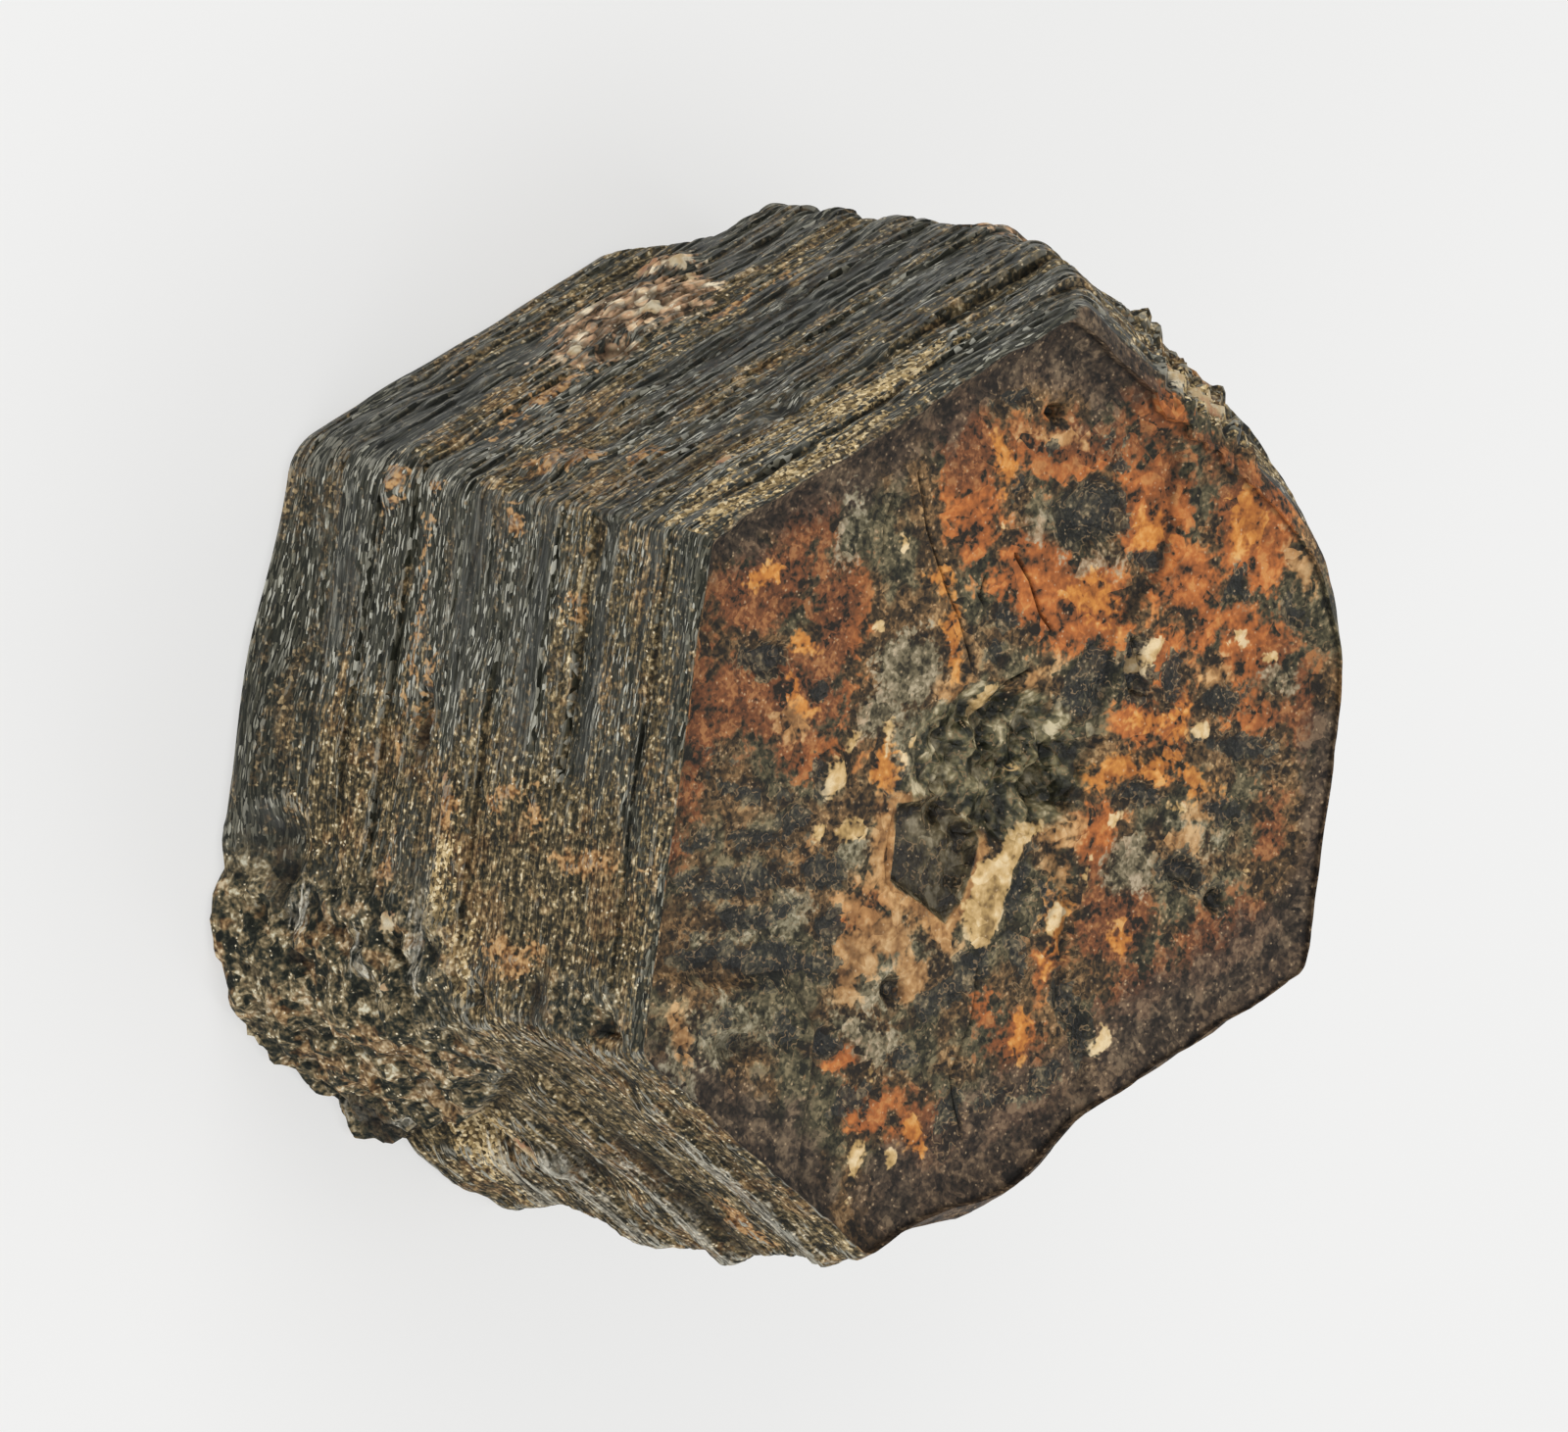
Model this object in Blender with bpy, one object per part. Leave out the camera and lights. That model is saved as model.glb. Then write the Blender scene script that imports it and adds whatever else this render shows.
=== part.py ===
"""A hibonite crystal: a stubby six-sided prism with stepped sides, one broken corner and a pitted
front face. It stands on its flat back face, with its long axis along +Z and the front face up."""

import math

import bmesh
import bpy
import numpy as np
from mathutils import Vector, noise
from mathutils.geometry import delaunay_2d_cdt

NAME = "hibonite_crystal"
COLLECTION = "hibonite"
MM = 0.001  # the shape is worked out in millimetres and scaled once, when the mesh is made

# Driving dimensions, in millimetres
HEIGHT = 19.55  # between the back and the front face
BOX_MIDDLE = (-0.1, -0.8)  # middle of the outline, measured from the long axis
RIM = 0.3  # height of the worn rim above the back face and below the front face
SHOULDER = 18.8  # height at which the sides begin to round over to the front face
STEP = 0.18  # height over which a growth step goes from one width to the next
SIDE_TURN = math.radians(60)  # from one side to the next

# The six sides in the order in which they are met going round from +X, each 60 degrees on. A side's
# profile gives its distance from the long axis at a few heights.
SIDES = ("CD", "BC", "AB", "FA", "EF", "DE")
PROFILES = {
    "CD": ((0, 12.2), (RIM, 12.6), (1.6, 12.8), (8, 13.2), (14, 13.15), (19.2, 13.1), (HEIGHT, 12.9)),
    "BC": (
        (0, 9.3), (RIM, 10.2), (1.4, 11.1), (2.9, 12.2), (3.3, 13.6), (6.4, 14.1), (9, 14.6),
        (14.3, 14.5), (16.6, 13.8), (18.3, 12.9), (19.2, 12.1), (HEIGHT, 11.5),
    ),
    "AB": ((0, 11.45), (RIM, 11.75), (4, 11.75), (8, 11.6), (19.2, 11.55), (HEIGHT, 11.35)),
    "FA": ((0, 12.7), (RIM, 13.0), (4, 12.9), (16, 12.95), (19.2, 12.9), (HEIGHT, 12.7)),
    "EF": ((0, 14.6), (RIM, 14.95), (4, 14.5), (12, 14.55), (19.2, 14.65), (HEIGHT, 14.45)),
    "DE": (
        (0, 13.9), (RIM, 14.2), (3.3, 13.5), (5, 14.1), (8, 14.4), (12.3, 13.5), (14.3, 13.0),
        (18.8, 11.85), (HEIGHT, 11.5),
    ),
}
# Corner k lies between side k and the next one. Its radius is given at the back and at the front.
CORNERS = ("C", "B", "A", "F", "E", "D")
CORNER_RADII = {
    "C": (6, 7), "B": (0.9, 0.9), "A": (1.5, 0.4), "F": (3.2, 0.7), "E": (0.7, 0.6), "D": (1.0, 0.5),
}
RADIUS_CHANGES = (2, 14)  # heights between which a corner's radius goes from the first to the second

# Growth steps: bands of a side between two heights that stand proud (or back, if negative), over a
# stretch of the side.
BANDS = {
    "CD": (
        (3.1, 4.5, 0.2, -6, 6), (6.0, 7.9, -0.2, -6, 2), (10.9, 13.0, 0.25, -4, 6),
        (15.5, 16.7, 0.22, -6, 6),
    ),
    "BC": (
        (3.1, 4.5, 0.3, -4, 9), (6.0, 7.0, -0.25, -7, 9), (9.5, 11.9, 0.25, -7, 4),
        (13.0, 14.3, -0.2, -2, 9), (15.5, 16.7, 0.2, -6, 3),
    ),
    "AB": (
        (1.5, 3.1, -0.12, -8, 4), (4.5, 6.0, 0.12, 1, 8), (7.9, 9.5, 0.12, -10, 3),
        (11.9, 13.0, -0.12, -10, 0), (14.3, 15.5, 0.26, -10, -2.5), (15.5, 16.7, -0.14, -9, 1.5),
        (16.7, 17.9, 0.14, -9, 6),
    ),
    "FA": (
        (3.1, 4.5, 0.12, -6, 5), (6.0, 7.0, -0.15, -6, 6), (9.5, 10.9, 0.15, -1, 9),
        (11.9, 13.0, 0.1, -6, 3), (14.3, 15.5, -0.28, -6, 2.4), (16.7, 17.9, 0.1, -6, 8),
    ),
    "EF": (
        (6.0, 7.9, 0.45, 0, 8), (10.9, 11.9, 0.5, -3, 8), (13.0, 15.5, -0.2, -5, 8),
        (16.7, 17.9, 0.35, -4, 6),
    ),
    "DE": (
        (3.1, 4.5, -0.3, -8, 6), (7.0, 7.9, 0.2, -8, 7), (10.9, 13.0, 0.25, -8, 3),
        (14.3, 15.5, 0.2, -3, 7), (16.7, 17.9, -0.15, -8, 7),
    ),
}
BAND_FADE = 1.6  # length over which a band dies out at each end
PARTINGS = sorted({height for bands in BANDS.values() for band in bands for height in band[:2]})

# Round crusts, pits and chips on a side: place along it, height, half widths, and how far they
# stand proud (or lie back, if negative).
SPOTS = {
    "CD": ((1.5, 8.8, 2.2, 1.6, 0.35), (-3.2, 14.2, 1.2, 1.0, -0.4), (3.4, 4.0, 1.6, 1.4, -0.35)),
    "BC": ((3.5, 11.5, 2.0, 1.4, 0.4), (-3.8, 8.2, 1.4, 1.2, -0.5), (5.5, 6.0, 1.4, 1.1, 0.35)),
    "AB": (
        (-1.6, 5.2, 3.0, 2.5, 0.35), (0.2, 6.2, 0.7, 0.5, -0.8), (6.2, 10.7, 1.0, 1.6, 0.3),
        (-4.8, 3.2, 0.9, 1.0, 0.3), (1.0, 14.9, 0.8, 0.6, -0.3),
    ),
    "FA": (
        (0.9, 7.8, 1.1, 0.45, -0.5), (-5.3, 5.0, 0.7, 0.5, 0.3), (9.2, 11.9, 0.8, 0.45, -0.6),
        (9.2, 17.7, 0.9, 1.0, -0.7), (6.0, 10.0, 3.0, 0.9, 0.15), (5.8, 2.2, 1.3, 1.2, -0.45),
        (3.0, 0.2, 7.0, 2.4, 0.7),
    ),
    "EF": (
        (2.8, 3.2, 1.8, 1.9, -0.8), (5.5, 9.2, 1.6, 1.2, 0.3), (2.6, 7.4, 0.8, 0.5, 0.3),
        (4.6, 0.2, 2.4, 2.0, 0.45),
    ),
    "DE": ((-4.4, 18.6, 3.2, 1.8, 0.7), (2.0, 9.0, 2.4, 1.8, -0.4), (-3.0, 5.6, 1.8, 1.2, 0.45)),
}
SPOT_EDGE = (0.35, 1.15)  # a spot falls away between these shares of its half widths

# Gentle unevenness of the sides: height, size, and how far it is drawn out along them
SIDE_WAVE = 0.09
SIDE_WAVE_SIZE = 1.1
SIDE_WAVE_STRETCH = (0.35, 0.35, 1)

# The broken corner F: its rough mass ends on side EF in a lip that runs from the front end of the
# break to the back face.
LIP_ALONG = ((0, 2.4), (1.7, 1.6), (7.5, -1.0), (9.8, -3.0), (13.3, -4.9))
LIP_PROUD = ((0, 1.0), (1.7, 1.1), (7.5, 0.8), (9.8, 0.4), (13.3, 0.0))
LIP_WIDTH = 0.7
BREAK_FADE = (8.0, 13.3)  # heights between which the break dies out
BREAK_ON_FA = (4.5, 8.5)  # places along side FA between which the break sets in
BREAK_ROUGHNESS = 0.45
BREAK_LUMP_SIZE = 1.3
BREAK_SEED = 11

# The grainy stretch of side BC just under the front face
GRAINS_ALONG = (-2.6, 2.2)
GRAINS_FROM = (15.2, 16.8)
GRAINS_FADE = 1.0
GRAIN_SIZE = 0.9
GRAIN_PROUD = 0.7
GRAIN_REST = 0.3  # share of a grain that lies below the plain surface
GRAIN_SEED = 5

# Relief of the front face: outlines of pits with flat floors, as (floor depth, wall width, points)
HEXAGON_PIT = (
    0.75, 0.3, ((-3.7, -1.6), (-3.6, -3.9), (-1.2, -5.1), (-0.6, -4.3), (-0.2, -2.3), (-1.8, -1.3)),
)
BLACK_PIT = (0.9, 0.25, ((4.3, 3.9), (4.2, 2.9), (4.7, 2.0), (5.5, 2.1), (5.3, 3.0), (4.9, 3.9)))
DARK_PIT = (0.5, 0.3, ((6.7, -2.8), (7.2, -3.5), (8.3, -3.6), (8.4, -2.9), (7.6, -2.5)))
FRONT_PITS = (HEXAGON_PIT, BLACK_PIT, DARK_PIT)
# Round pits and chips of the front face: place, half widths, how far they stand proud
FRONT_SPOTS = (
    (2.2, -0.8, 0.8, 0.7, -1.5), (0.5, 10.3, 0.5, 0.3, -0.5), (-9.6, 2.4, 1.2, 0.8, -0.12),
    (2.3, 7.3, 1.5, 1.1, -0.15), (-2.9, -7.1, 0.6, 0.5, -0.3), (-6.3, -0.7, 0.6, 0.7, 0.2),
    (-9.0, -9.0, 1.0, 0.6, -0.2), (9.2, -3.9, 0.5, 0.4, -0.3), (6.0, -0.1, 1.6, 0.5, 0.15),
)
# The rough hollow in the middle of the front face
MIDDLE_HOLLOW = (0.0, -0.2)
MIDDLE_HALF_WIDTHS = (3.6, 2.4)
MIDDLE_DEPTH = 0.55
MIDDLE_EDGE = (0.6, 1.1)  # shares of the half widths between which the hollow's wall lies
MIDDLE_ROUGHNESS = 0.5
MIDDLE_LUMP_SIZE = 0.9
MIDDLE_SEED = 22
FRONT_WAVE = 0.1
FRONT_WAVE_SIZE = 3.5
FRONT_SEED = 21
RIM_SHARE = 0.6  # how much of the front face's relief reaches its rim
# Steps of the front face: the ground beyond each line, on its right as it is drawn, lies lower
RIGHT_STEP = (
    (5.6, 14), (5.7, 6), (4.1, 3.9), (3.9, 0.5), (2.5, -2.2), (3.6, -4.2), (3.9, -6.4), (5.2, -8.6),
    (6.5, -16),
)
LEFT_STEP = ((-5.8, -16), (-6.0, -8.4), (-7.4, -7.0), (-9.8, -7.4), (-12.2, -7.1), (-16, -7.4))
RIGHT_STEP_DEPTH = 0.28
LEFT_STEP_DEPTH = 0.3
STEP_EDGE = (-0.05, 0.25)  # where a step's wall begins and ends, across its line

# Mesh resolution: points along each straight side and round each corner, and the spacing of the
# front face's points
SIDE_POINTS = {"CD": 8, "BC": 11, "AB": 14, "FA": 14, "EF": 12, "DE": 12}
CORNER_POINTS = {"C": 8, "B": 3, "A": 1, "F": 5, "E": 2, "D": 2}
FRONT_SPACING = 0.9
LATTICE_REACH = 18
FLOOR_SHARE = 1.2  # a pit's floor starts this many wall widths inside its outline
CLEAR_OF_EDGES = 0.55  # in spacings, from points on pits and steps
CLEAR_OF_RIM = 0.35

STONE_COLOUR = (0.085, 0.06, 0.045, 1)
STONE_ROUGHNESS = 0.6


def ease(value, low, high):
    """0 below low, 1 above high and a smooth rise between them."""
    share = np.clip((np.asarray(value, float) - low) / (high - low), 0, 1)
    return share * share * (3 - 2 * share)


def within(value, low, high, fade):
    """1 between low and high, falling to 0 over the fade at each end."""
    return ease(value, low - fade / 2, low + fade / 2) * (1 - ease(value, high - fade / 2, high + fade / 2))


def read(table, where):
    """A table of (place, value) pairs, read with straight lines between them."""
    places, values = zip(*table)
    return np.interp(where, places, values)


def wobble(points, size, seed):
    """Smooth noise between about -1 and 1 at each point, whose bumps are about size across."""
    moved = np.asarray(points, float) / size + seed * 17.3
    return np.array([noise.noise(Vector(point)) for point in moved])


def facets(points, size, seed):
    """Noise of flat-sided grains of about the given size: 1 in the middle of a grain, 0 between grains."""
    moved = np.asarray(points, float) / size + seed * 17.3
    distances = np.array([noise.voronoi(Vector(point))[0][:2] for point in moved])
    return np.clip(1.6 * (distances[:, 1] - distances[:, 0]), 0, 1)


def spots(table, along, up):
    """Sum of the round crusts and pits of a table."""
    total = np.zeros(len(along))
    for spot_along, spot_up, half_along, half_up, proud in table:
        distance = np.hypot((along - spot_along) / half_along, (up - spot_up) / half_up)
        total += proud * (1 - ease(distance, *SPOT_EDGE))
    return total


def side_relief(side, along, points):
    """How far the points of a side stand proud of its profile."""
    up = points[:, 2]
    relief = spots(SPOTS[side], along, up)
    for low, high, proud, start, end in BANDS[side]:
        relief += proud * within(up, low, high, STEP) * within(along, start, end, BAND_FADE)
    relief += SIDE_WAVE * wobble(points * SIDE_WAVE_STRETCH, SIDE_WAVE_SIZE, SIDES.index(side))
    if side in ("EF", "FA"):
        rough = BREAK_ROUGHNESS * (1 - ease(up, *BREAK_FADE)) * wobble(points, BREAK_LUMP_SIZE, BREAK_SEED)
        if side == "EF":
            lip = 1 - ease(along - read(LIP_ALONG, up), 0, LIP_WIDTH)
            relief += lip * (read(LIP_PROUD, up) + rough)
        else:
            relief += ease(along, *BREAK_ON_FA) * rough
    if side == "BC":
        grainy = within(along, *GRAINS_ALONG, GRAINS_FADE) * ease(up, *GRAINS_FROM)
        relief += grainy * GRAIN_PROUD * (facets(points, GRAIN_SIZE, GRAIN_SEED) - GRAIN_REST)
    return relief


def corner_radius(corner, height):
    at_back, at_front = CORNER_RADII[corner]
    return at_back + (at_front - at_back) * float(ease(height, *RADIUS_CHANGES))


def outline(height):
    """The plain outline at a height: points, the angle that each faces and, for every side, its share in
    each point."""
    distances = [float(read(PROFILES[side], height)) for side in SIDES]
    ends, starts = [], []
    for distance, after in zip(distances, distances[1:] + distances[:1]):
        ends.append((after - distance * math.cos(SIDE_TURN)) / math.sin(SIDE_TURN))
        starts.append((after * math.cos(SIDE_TURN) - distance) / math.sin(SIDE_TURN))
    points, angles, shares = [], [], []
    for index, side in enumerate(SIDES):
        corner = CORNERS[index]
        radius = corner_radius(corner, height)
        cut = radius * math.tan(SIDE_TURN / 2)
        cut_before = corner_radius(CORNERS[index - 1], height) * math.tan(SIDE_TURN / 2)
        facing = index * SIDE_TURN
        normal = np.array((math.cos(facing), math.sin(facing)))
        tangent = np.array((-math.sin(facing), math.cos(facing)))
        for along in np.linspace(starts[index - 1] + cut_before, ends[index] - cut, SIDE_POINTS[side]):
            points.append(distances[index] * normal + along * tangent)
            angles.append(facing)
            shares.append(np.eye(6)[index])
        middle = (distances[index] - radius) * normal + (ends[index] - cut) * tangent
        turns = np.arange(1, CORNER_POINTS[corner] + 1) / (CORNER_POINTS[corner] + 1)
        for turn in turns:
            angle = facing + turn * SIDE_TURN
            points.append(middle + radius * np.array((math.cos(angle), math.sin(angle))))
            angles.append(angle)
            shares.append((1 - turn) * np.eye(6)[index] + turn * np.eye(6)[(index + 1) % 6])
    return np.array(points), np.array(angles), np.array(shares)


def ring(height):
    """The points of the crystal's surface at a height, with every side's relief."""
    flat, angles, shares = outline(height)
    points = np.column_stack((flat, np.full(len(flat), height)))
    relief = np.zeros(len(flat))
    for index, side in enumerate(SIDES):
        facing = index * SIDE_TURN
        along = flat @ (-math.sin(facing), math.cos(facing))
        touched = shares[:, index] > 0
        relief[touched] += shares[touched, index] * side_relief(side, along[touched], points[touched])
    points[:, 0] += relief * np.cos(angles)
    points[:, 1] += relief * np.sin(angles)
    return points


def distance_to_line(points, line):
    """Distance of each point from a line of straight pieces, and whether it lies on the line's right."""
    nearest = np.full(len(points), np.inf)
    on_right = np.zeros(len(points), bool)
    for start, end in zip(line, line[1:]):
        start, end = np.array(start, float), np.array(end, float)
        run = end - start
        share = np.clip((points - start) @ run / (run @ run), 0, 1)
        offset = points - (start + share[:, None] * run)
        distance = np.hypot(*offset.T)
        closer = distance < nearest
        nearest[closer] = distance[closer]
        on_right[closer] = (run[0] * offset[closer, 1] - run[1] * offset[closer, 0]) < 0
    return nearest, on_right


def inside_outline(points, corners):
    """Distance inside a closed outline, negative outside it."""
    closed = (*corners, corners[0])
    distance, _ = distance_to_line(points, closed)
    inside = np.zeros(len(points), bool)
    for (x, y), (next_x, next_y) in zip(closed, closed[1:]):
        beside = (y > points[:, 1]) != (next_y > points[:, 1])
        crossing = x + (points[:, 1] - y) * (next_x - x) / ((next_y - y) or 1)
        inside ^= beside & (points[:, 0] < crossing)
    return np.where(inside, distance, -distance)


def front_relief(points):
    """Height of the front face over its plane at each (x, y)."""
    solid = np.column_stack((points, np.zeros(len(points))))
    relief = FRONT_WAVE * wobble(solid, FRONT_WAVE_SIZE, FRONT_SEED) + spots(FRONT_SPOTS, *points.T)
    from_middle = np.hypot(*((points - MIDDLE_HOLLOW) / MIDDLE_HALF_WIDTHS).T)
    hollow = 1 - ease(from_middle, *MIDDLE_EDGE)
    relief -= hollow * (MIDDLE_DEPTH - MIDDLE_ROUGHNESS * wobble(solid, MIDDLE_LUMP_SIZE, MIDDLE_SEED))
    for line, depth in ((RIGHT_STEP, RIGHT_STEP_DEPTH), (LEFT_STEP, LEFT_STEP_DEPTH)):
        distance, on_right = distance_to_line(points, line)
        relief -= depth * ease(np.where(on_right, distance, -distance), *STEP_EDGE)
    for depth, wall, corners in FRONT_PITS:
        relief -= depth * ease(inside_outline(points, corners), 0, wall)
    return relief


def pulled_in(corners, width):
    """The outline moved inwards by a width, towards its middle."""
    corners = np.array(corners, float)
    middle = corners.mean(axis=0)
    rays = corners - middle
    return middle + rays * (1 - width / np.hypot(*rays.T))[:, None]


def step_points(line):
    """Points along both edges of a step's wall."""
    points = []
    for start, end in zip(line, line[1:]):
        start, end = np.array(start, float), np.array(end, float)
        length = float(np.hypot(*(end - start)))
        across = np.array((end[1] - start[1], start[0] - end[0])) / length
        count = max(1, round(length / FRONT_SPACING))
        for shift in STEP_EDGE:
            points += [start + shift * across + (end - start) * k / count for k in range(count)]
    return points


def lattice():
    """A triangular grid over more than the front face."""
    reach = np.arange(-LATTICE_REACH, LATTICE_REACH, FRONT_SPACING)
    rows = np.arange(-LATTICE_REACH, LATTICE_REACH, FRONT_SPACING * math.sqrt(3) / 2)
    shifted = enumerate(rows)
    return np.array([(x + FRONT_SPACING / 2 * (row % 2), y) for row, y in shifted for x in reach])


def front_points(rim):
    """Points inside the rim of the front face, and the edges that its pits need."""
    points, edges = [], []
    for _, wall, corners in FRONT_PITS:
        for loop in (np.array(corners, float), pulled_in(corners, FLOOR_SHARE * wall)):
            first, count = len(points), len(loop)
            points += list(loop)
            edges += [(first + k, first + (k + 1) % count) for k in range(count)]
    for line in (RIGHT_STEP, LEFT_STEP):
        points += step_points(line)
    fixed = np.array(points)
    for point in lattice():
        if np.hypot(*(fixed - point).T).min() > CLEAR_OF_EDGES * FRONT_SPACING:
            points.append(point)
    points = np.array(points)
    kept = inside_outline(points, [tuple(corner) for corner in rim]) > CLEAR_OF_RIM * FRONT_SPACING
    places = np.cumsum(kept) - 1
    return points[kept], [(int(places[a]), int(places[b])) for a, b in edges if kept[a] and kept[b]]


def ring_heights():
    """The back face, a ring on each side of every parting, and the rounding at the front."""
    heights = [0, RIM]
    for parting in PARTINGS:
        heights += [parting - STEP / 2, parting + STEP / 2]
    return heights + [SHOULDER, HEIGHT - RIM, HEIGHT]


def crystal_mesh():
    """The closed surface: stacked rings, a triangulated front face and one flat back face."""
    rings = [ring(height) for height in ring_heights()]
    rim = rings[-1][:, :2]
    rings[-1][:, 2] += RIM_SHARE * front_relief(rim)
    inner, edges = front_points(rim)
    inside = np.column_stack((inner, HEIGHT + front_relief(inner)))
    shift = np.array((*BOX_MIDDLE, 0))
    mesh = bmesh.new()
    rows = [[mesh.verts.new((point - shift) * MM) for point in points] for points in (*rings, inside)]
    *walls, inside = rows
    count = len(rim)
    for lower, upper in zip(walls, walls[1:]):
        for k in range(count):
            after = (k + 1) % count
            mesh.faces.new((lower[k], lower[after], upper[after], upper[k]))
    mesh.faces.new(reversed(walls[0]))
    flat = [Vector(point) for point in (*rim, *inner)]
    edges = [(a + count, b + count) for a, b in edges]
    _, _, triangles, originals, _, _ = delaunay_2d_cdt(flat, edges, [list(range(count))], 1, 1e-6)
    front = walls[-1] + inside
    for triangle in triangles:
        mesh.faces.new([front[originals[corner][0]] for corner in triangle])
    bmesh.ops.triangulate(mesh, faces=[face for face in mesh.faces if len(face.verts) == 4])
    made = bpy.data.meshes.new(NAME)
    mesh.to_mesh(made)
    mesh.free()
    return made


def stone_material():
    material = bpy.data.materials.new("hibonite")
    material.use_nodes = True
    shader = material.node_tree.nodes["Principled BSDF"]
    shader.inputs["Base Color"].default_value = STONE_COLOUR
    shader.inputs["Roughness"].default_value = STONE_ROUGHNESS
    shader.inputs["Metallic"].default_value = 0
    return material


def main():
    for thing in list(bpy.data.objects):
        bpy.data.objects.remove(thing)
    parts = bpy.data.collections.new(COLLECTION)
    bpy.context.scene.collection.children.link(parts)
    crystal = bpy.data.objects.new(NAME, crystal_mesh())
    crystal.data.materials.append(stone_material())
    parts.objects.link(crystal)


main()
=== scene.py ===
"""The looks of the hibonite crystal: its layered sides, its patchy front face and their colours, round
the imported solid, which this fine surface follows."""

import math
import random

import bpy
import numpy as np
from mathutils import Matrix, Vector, noise
from mathutils.geometry import delaunay_2d_cdt


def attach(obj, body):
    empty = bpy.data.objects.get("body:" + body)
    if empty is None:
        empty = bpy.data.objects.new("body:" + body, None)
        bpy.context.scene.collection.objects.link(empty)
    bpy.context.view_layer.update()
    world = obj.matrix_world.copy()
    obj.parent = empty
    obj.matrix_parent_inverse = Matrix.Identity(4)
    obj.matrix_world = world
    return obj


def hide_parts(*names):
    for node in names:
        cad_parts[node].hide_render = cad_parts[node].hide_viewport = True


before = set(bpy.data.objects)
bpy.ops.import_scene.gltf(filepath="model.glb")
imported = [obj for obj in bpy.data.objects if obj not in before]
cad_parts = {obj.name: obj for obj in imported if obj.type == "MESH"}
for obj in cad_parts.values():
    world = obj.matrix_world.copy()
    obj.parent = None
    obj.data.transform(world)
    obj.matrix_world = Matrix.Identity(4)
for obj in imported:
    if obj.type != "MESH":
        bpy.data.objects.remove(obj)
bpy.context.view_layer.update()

NODE = "hibonite_crystal"
PIECE = "crystal"
BODY = "root"
MM = 0.001  # the shape is worked out in millimetres and scaled once, when the mesh is made
SEED_STRIDE = 17.3  # keeps one seed's noise apart from the next one's
FACET_SHARPNESS = 1.6  # how steeply a grain falls off to its edges

# Driving dimensions, in millimetres
HEIGHT = 19.55  # between the back and the front face
BOX_MIDDLE = (-0.1, -0.8)  # middle of the outline, measured from the long axis
RIM = 0.3  # height of the worn rim above the back face and below the front face
STEP = 0.03  # height over which a growth step goes from one width to the next
SOFT_STEP = 0.7  # the same on side EF, which is worn
SIDE_TURN = math.radians(60)  # from one side to the next

# The six sides in the order in which they are met going round from +X, each 60 degrees on. A side's
# profile gives its distance from the long axis at a few heights.
SIDES = ("CD", "BC", "AB", "FA", "EF", "DE")
PROFILES = {
    "CD": ((0, 12.2), (RIM, 12.6), (1.6, 12.8), (8, 13.2), (14, 13.15), (19.2, 13.1), (HEIGHT, 12.9)),
    "BC": (
        (0, 9.3), (RIM, 10.2), (1.4, 11.1), (2.9, 12.2), (3.3, 13.6), (6.4, 14.1), (9, 14.6),
        (14.3, 14.5), (16.6, 13.8), (18.3, 12.9), (19.2, 12.1), (HEIGHT, 11.5),
    ),
    "AB": ((0, 11.45), (RIM, 11.75), (4, 11.75), (8, 11.6), (19.2, 11.55), (HEIGHT, 11.35)),
    "FA": ((0, 12.7), (RIM, 13.0), (4, 12.9), (16, 12.95), (19.2, 12.9), (HEIGHT, 12.7)),
    "EF": ((0, 14.6), (RIM, 14.95), (4, 14.5), (12, 14.55), (19.2, 14.65), (HEIGHT, 14.45)),
    "DE": (
        (0, 13.9), (RIM, 14.2), (3.3, 13.5), (5, 14.1), (8, 14.4), (12.3, 13.5), (14.3, 13.0),
        (18.8, 11.85), (HEIGHT, 11.5),
    ),
}
# Corner k lies between side k and the next one. Its radius is given at the back and at the front.
CORNERS = ("C", "B", "A", "F", "E", "D")
CORNER_RADII = {
    "C": (6, 7), "B": (0.9, 0.9), "A": (1.5, 0.4), "F": (3.2, 0.7), "E": (0.7, 0.6), "D": (1.0, 0.5),
}
RADIUS_CHANGES = (2, 14)  # heights between which a corner's radius goes from the first to the second

# Growth steps: bands of a side between two heights that stand proud (or back, if negative), over a
# stretch of the side.
BANDS = {
    "CD": (
        (3.1, 4.5, 0.2, -6, 6), (6.0, 7.9, -0.2, -6, 2), (10.9, 13.0, 0.25, -4, 6),
        (15.5, 16.7, 0.22, -6, 6),
    ),
    "BC": (
        (3.1, 4.5, 0.3, -4, 9), (6.0, 7.0, -0.25, -7, 9), (9.5, 11.9, 0.25, -7, 4),
        (13.0, 14.3, -0.2, -2, 9), (15.5, 16.7, 0.2, -6, 3),
    ),
    "AB": (
        (1.5, 3.1, -0.12, -8, 4), (4.5, 6.0, 0.12, 1, 8), (7.9, 9.5, 0.12, -10, 3),
        (11.9, 13.0, -0.12, -10, 0), (14.3, 15.5, 0.26, -10, -2.5), (15.5, 16.7, -0.14, -9, 1.5),
        (16.7, 17.9, 0.14, -9, 6),
    ),
    "FA": (
        (3.1, 4.5, 0.12, -6, 5), (6.0, 7.0, -0.15, -6, 6), (9.5, 10.9, 0.15, -1, 9),
        (11.9, 13.0, 0.1, -6, 3), (14.3, 15.5, -0.28, -6, 2.4), (16.7, 17.9, 0.1, -6, 8),
    ),
    "EF": (
        (6.0, 7.9, 0.45, 0, 8), (10.9, 11.9, 0.5, -3, 8), (13.0, 15.5, -0.2, -5, 8),
        (16.7, 17.9, 0.35, -4, 6),
    ),
    "DE": (
        (3.1, 4.5, -0.3, -8, 6), (7.0, 7.9, 0.2, -8, 7), (10.9, 13.0, 0.25, -8, 3),
        (14.3, 15.5, 0.2, -3, 7), (16.7, 17.9, -0.15, -8, 7),
    ),
}
BAND_FADE = 1.6  # length over which a band dies out at each end
PARTINGS = sorted({height for bands in BANDS.values() for band in bands for height in band[:2]})

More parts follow.
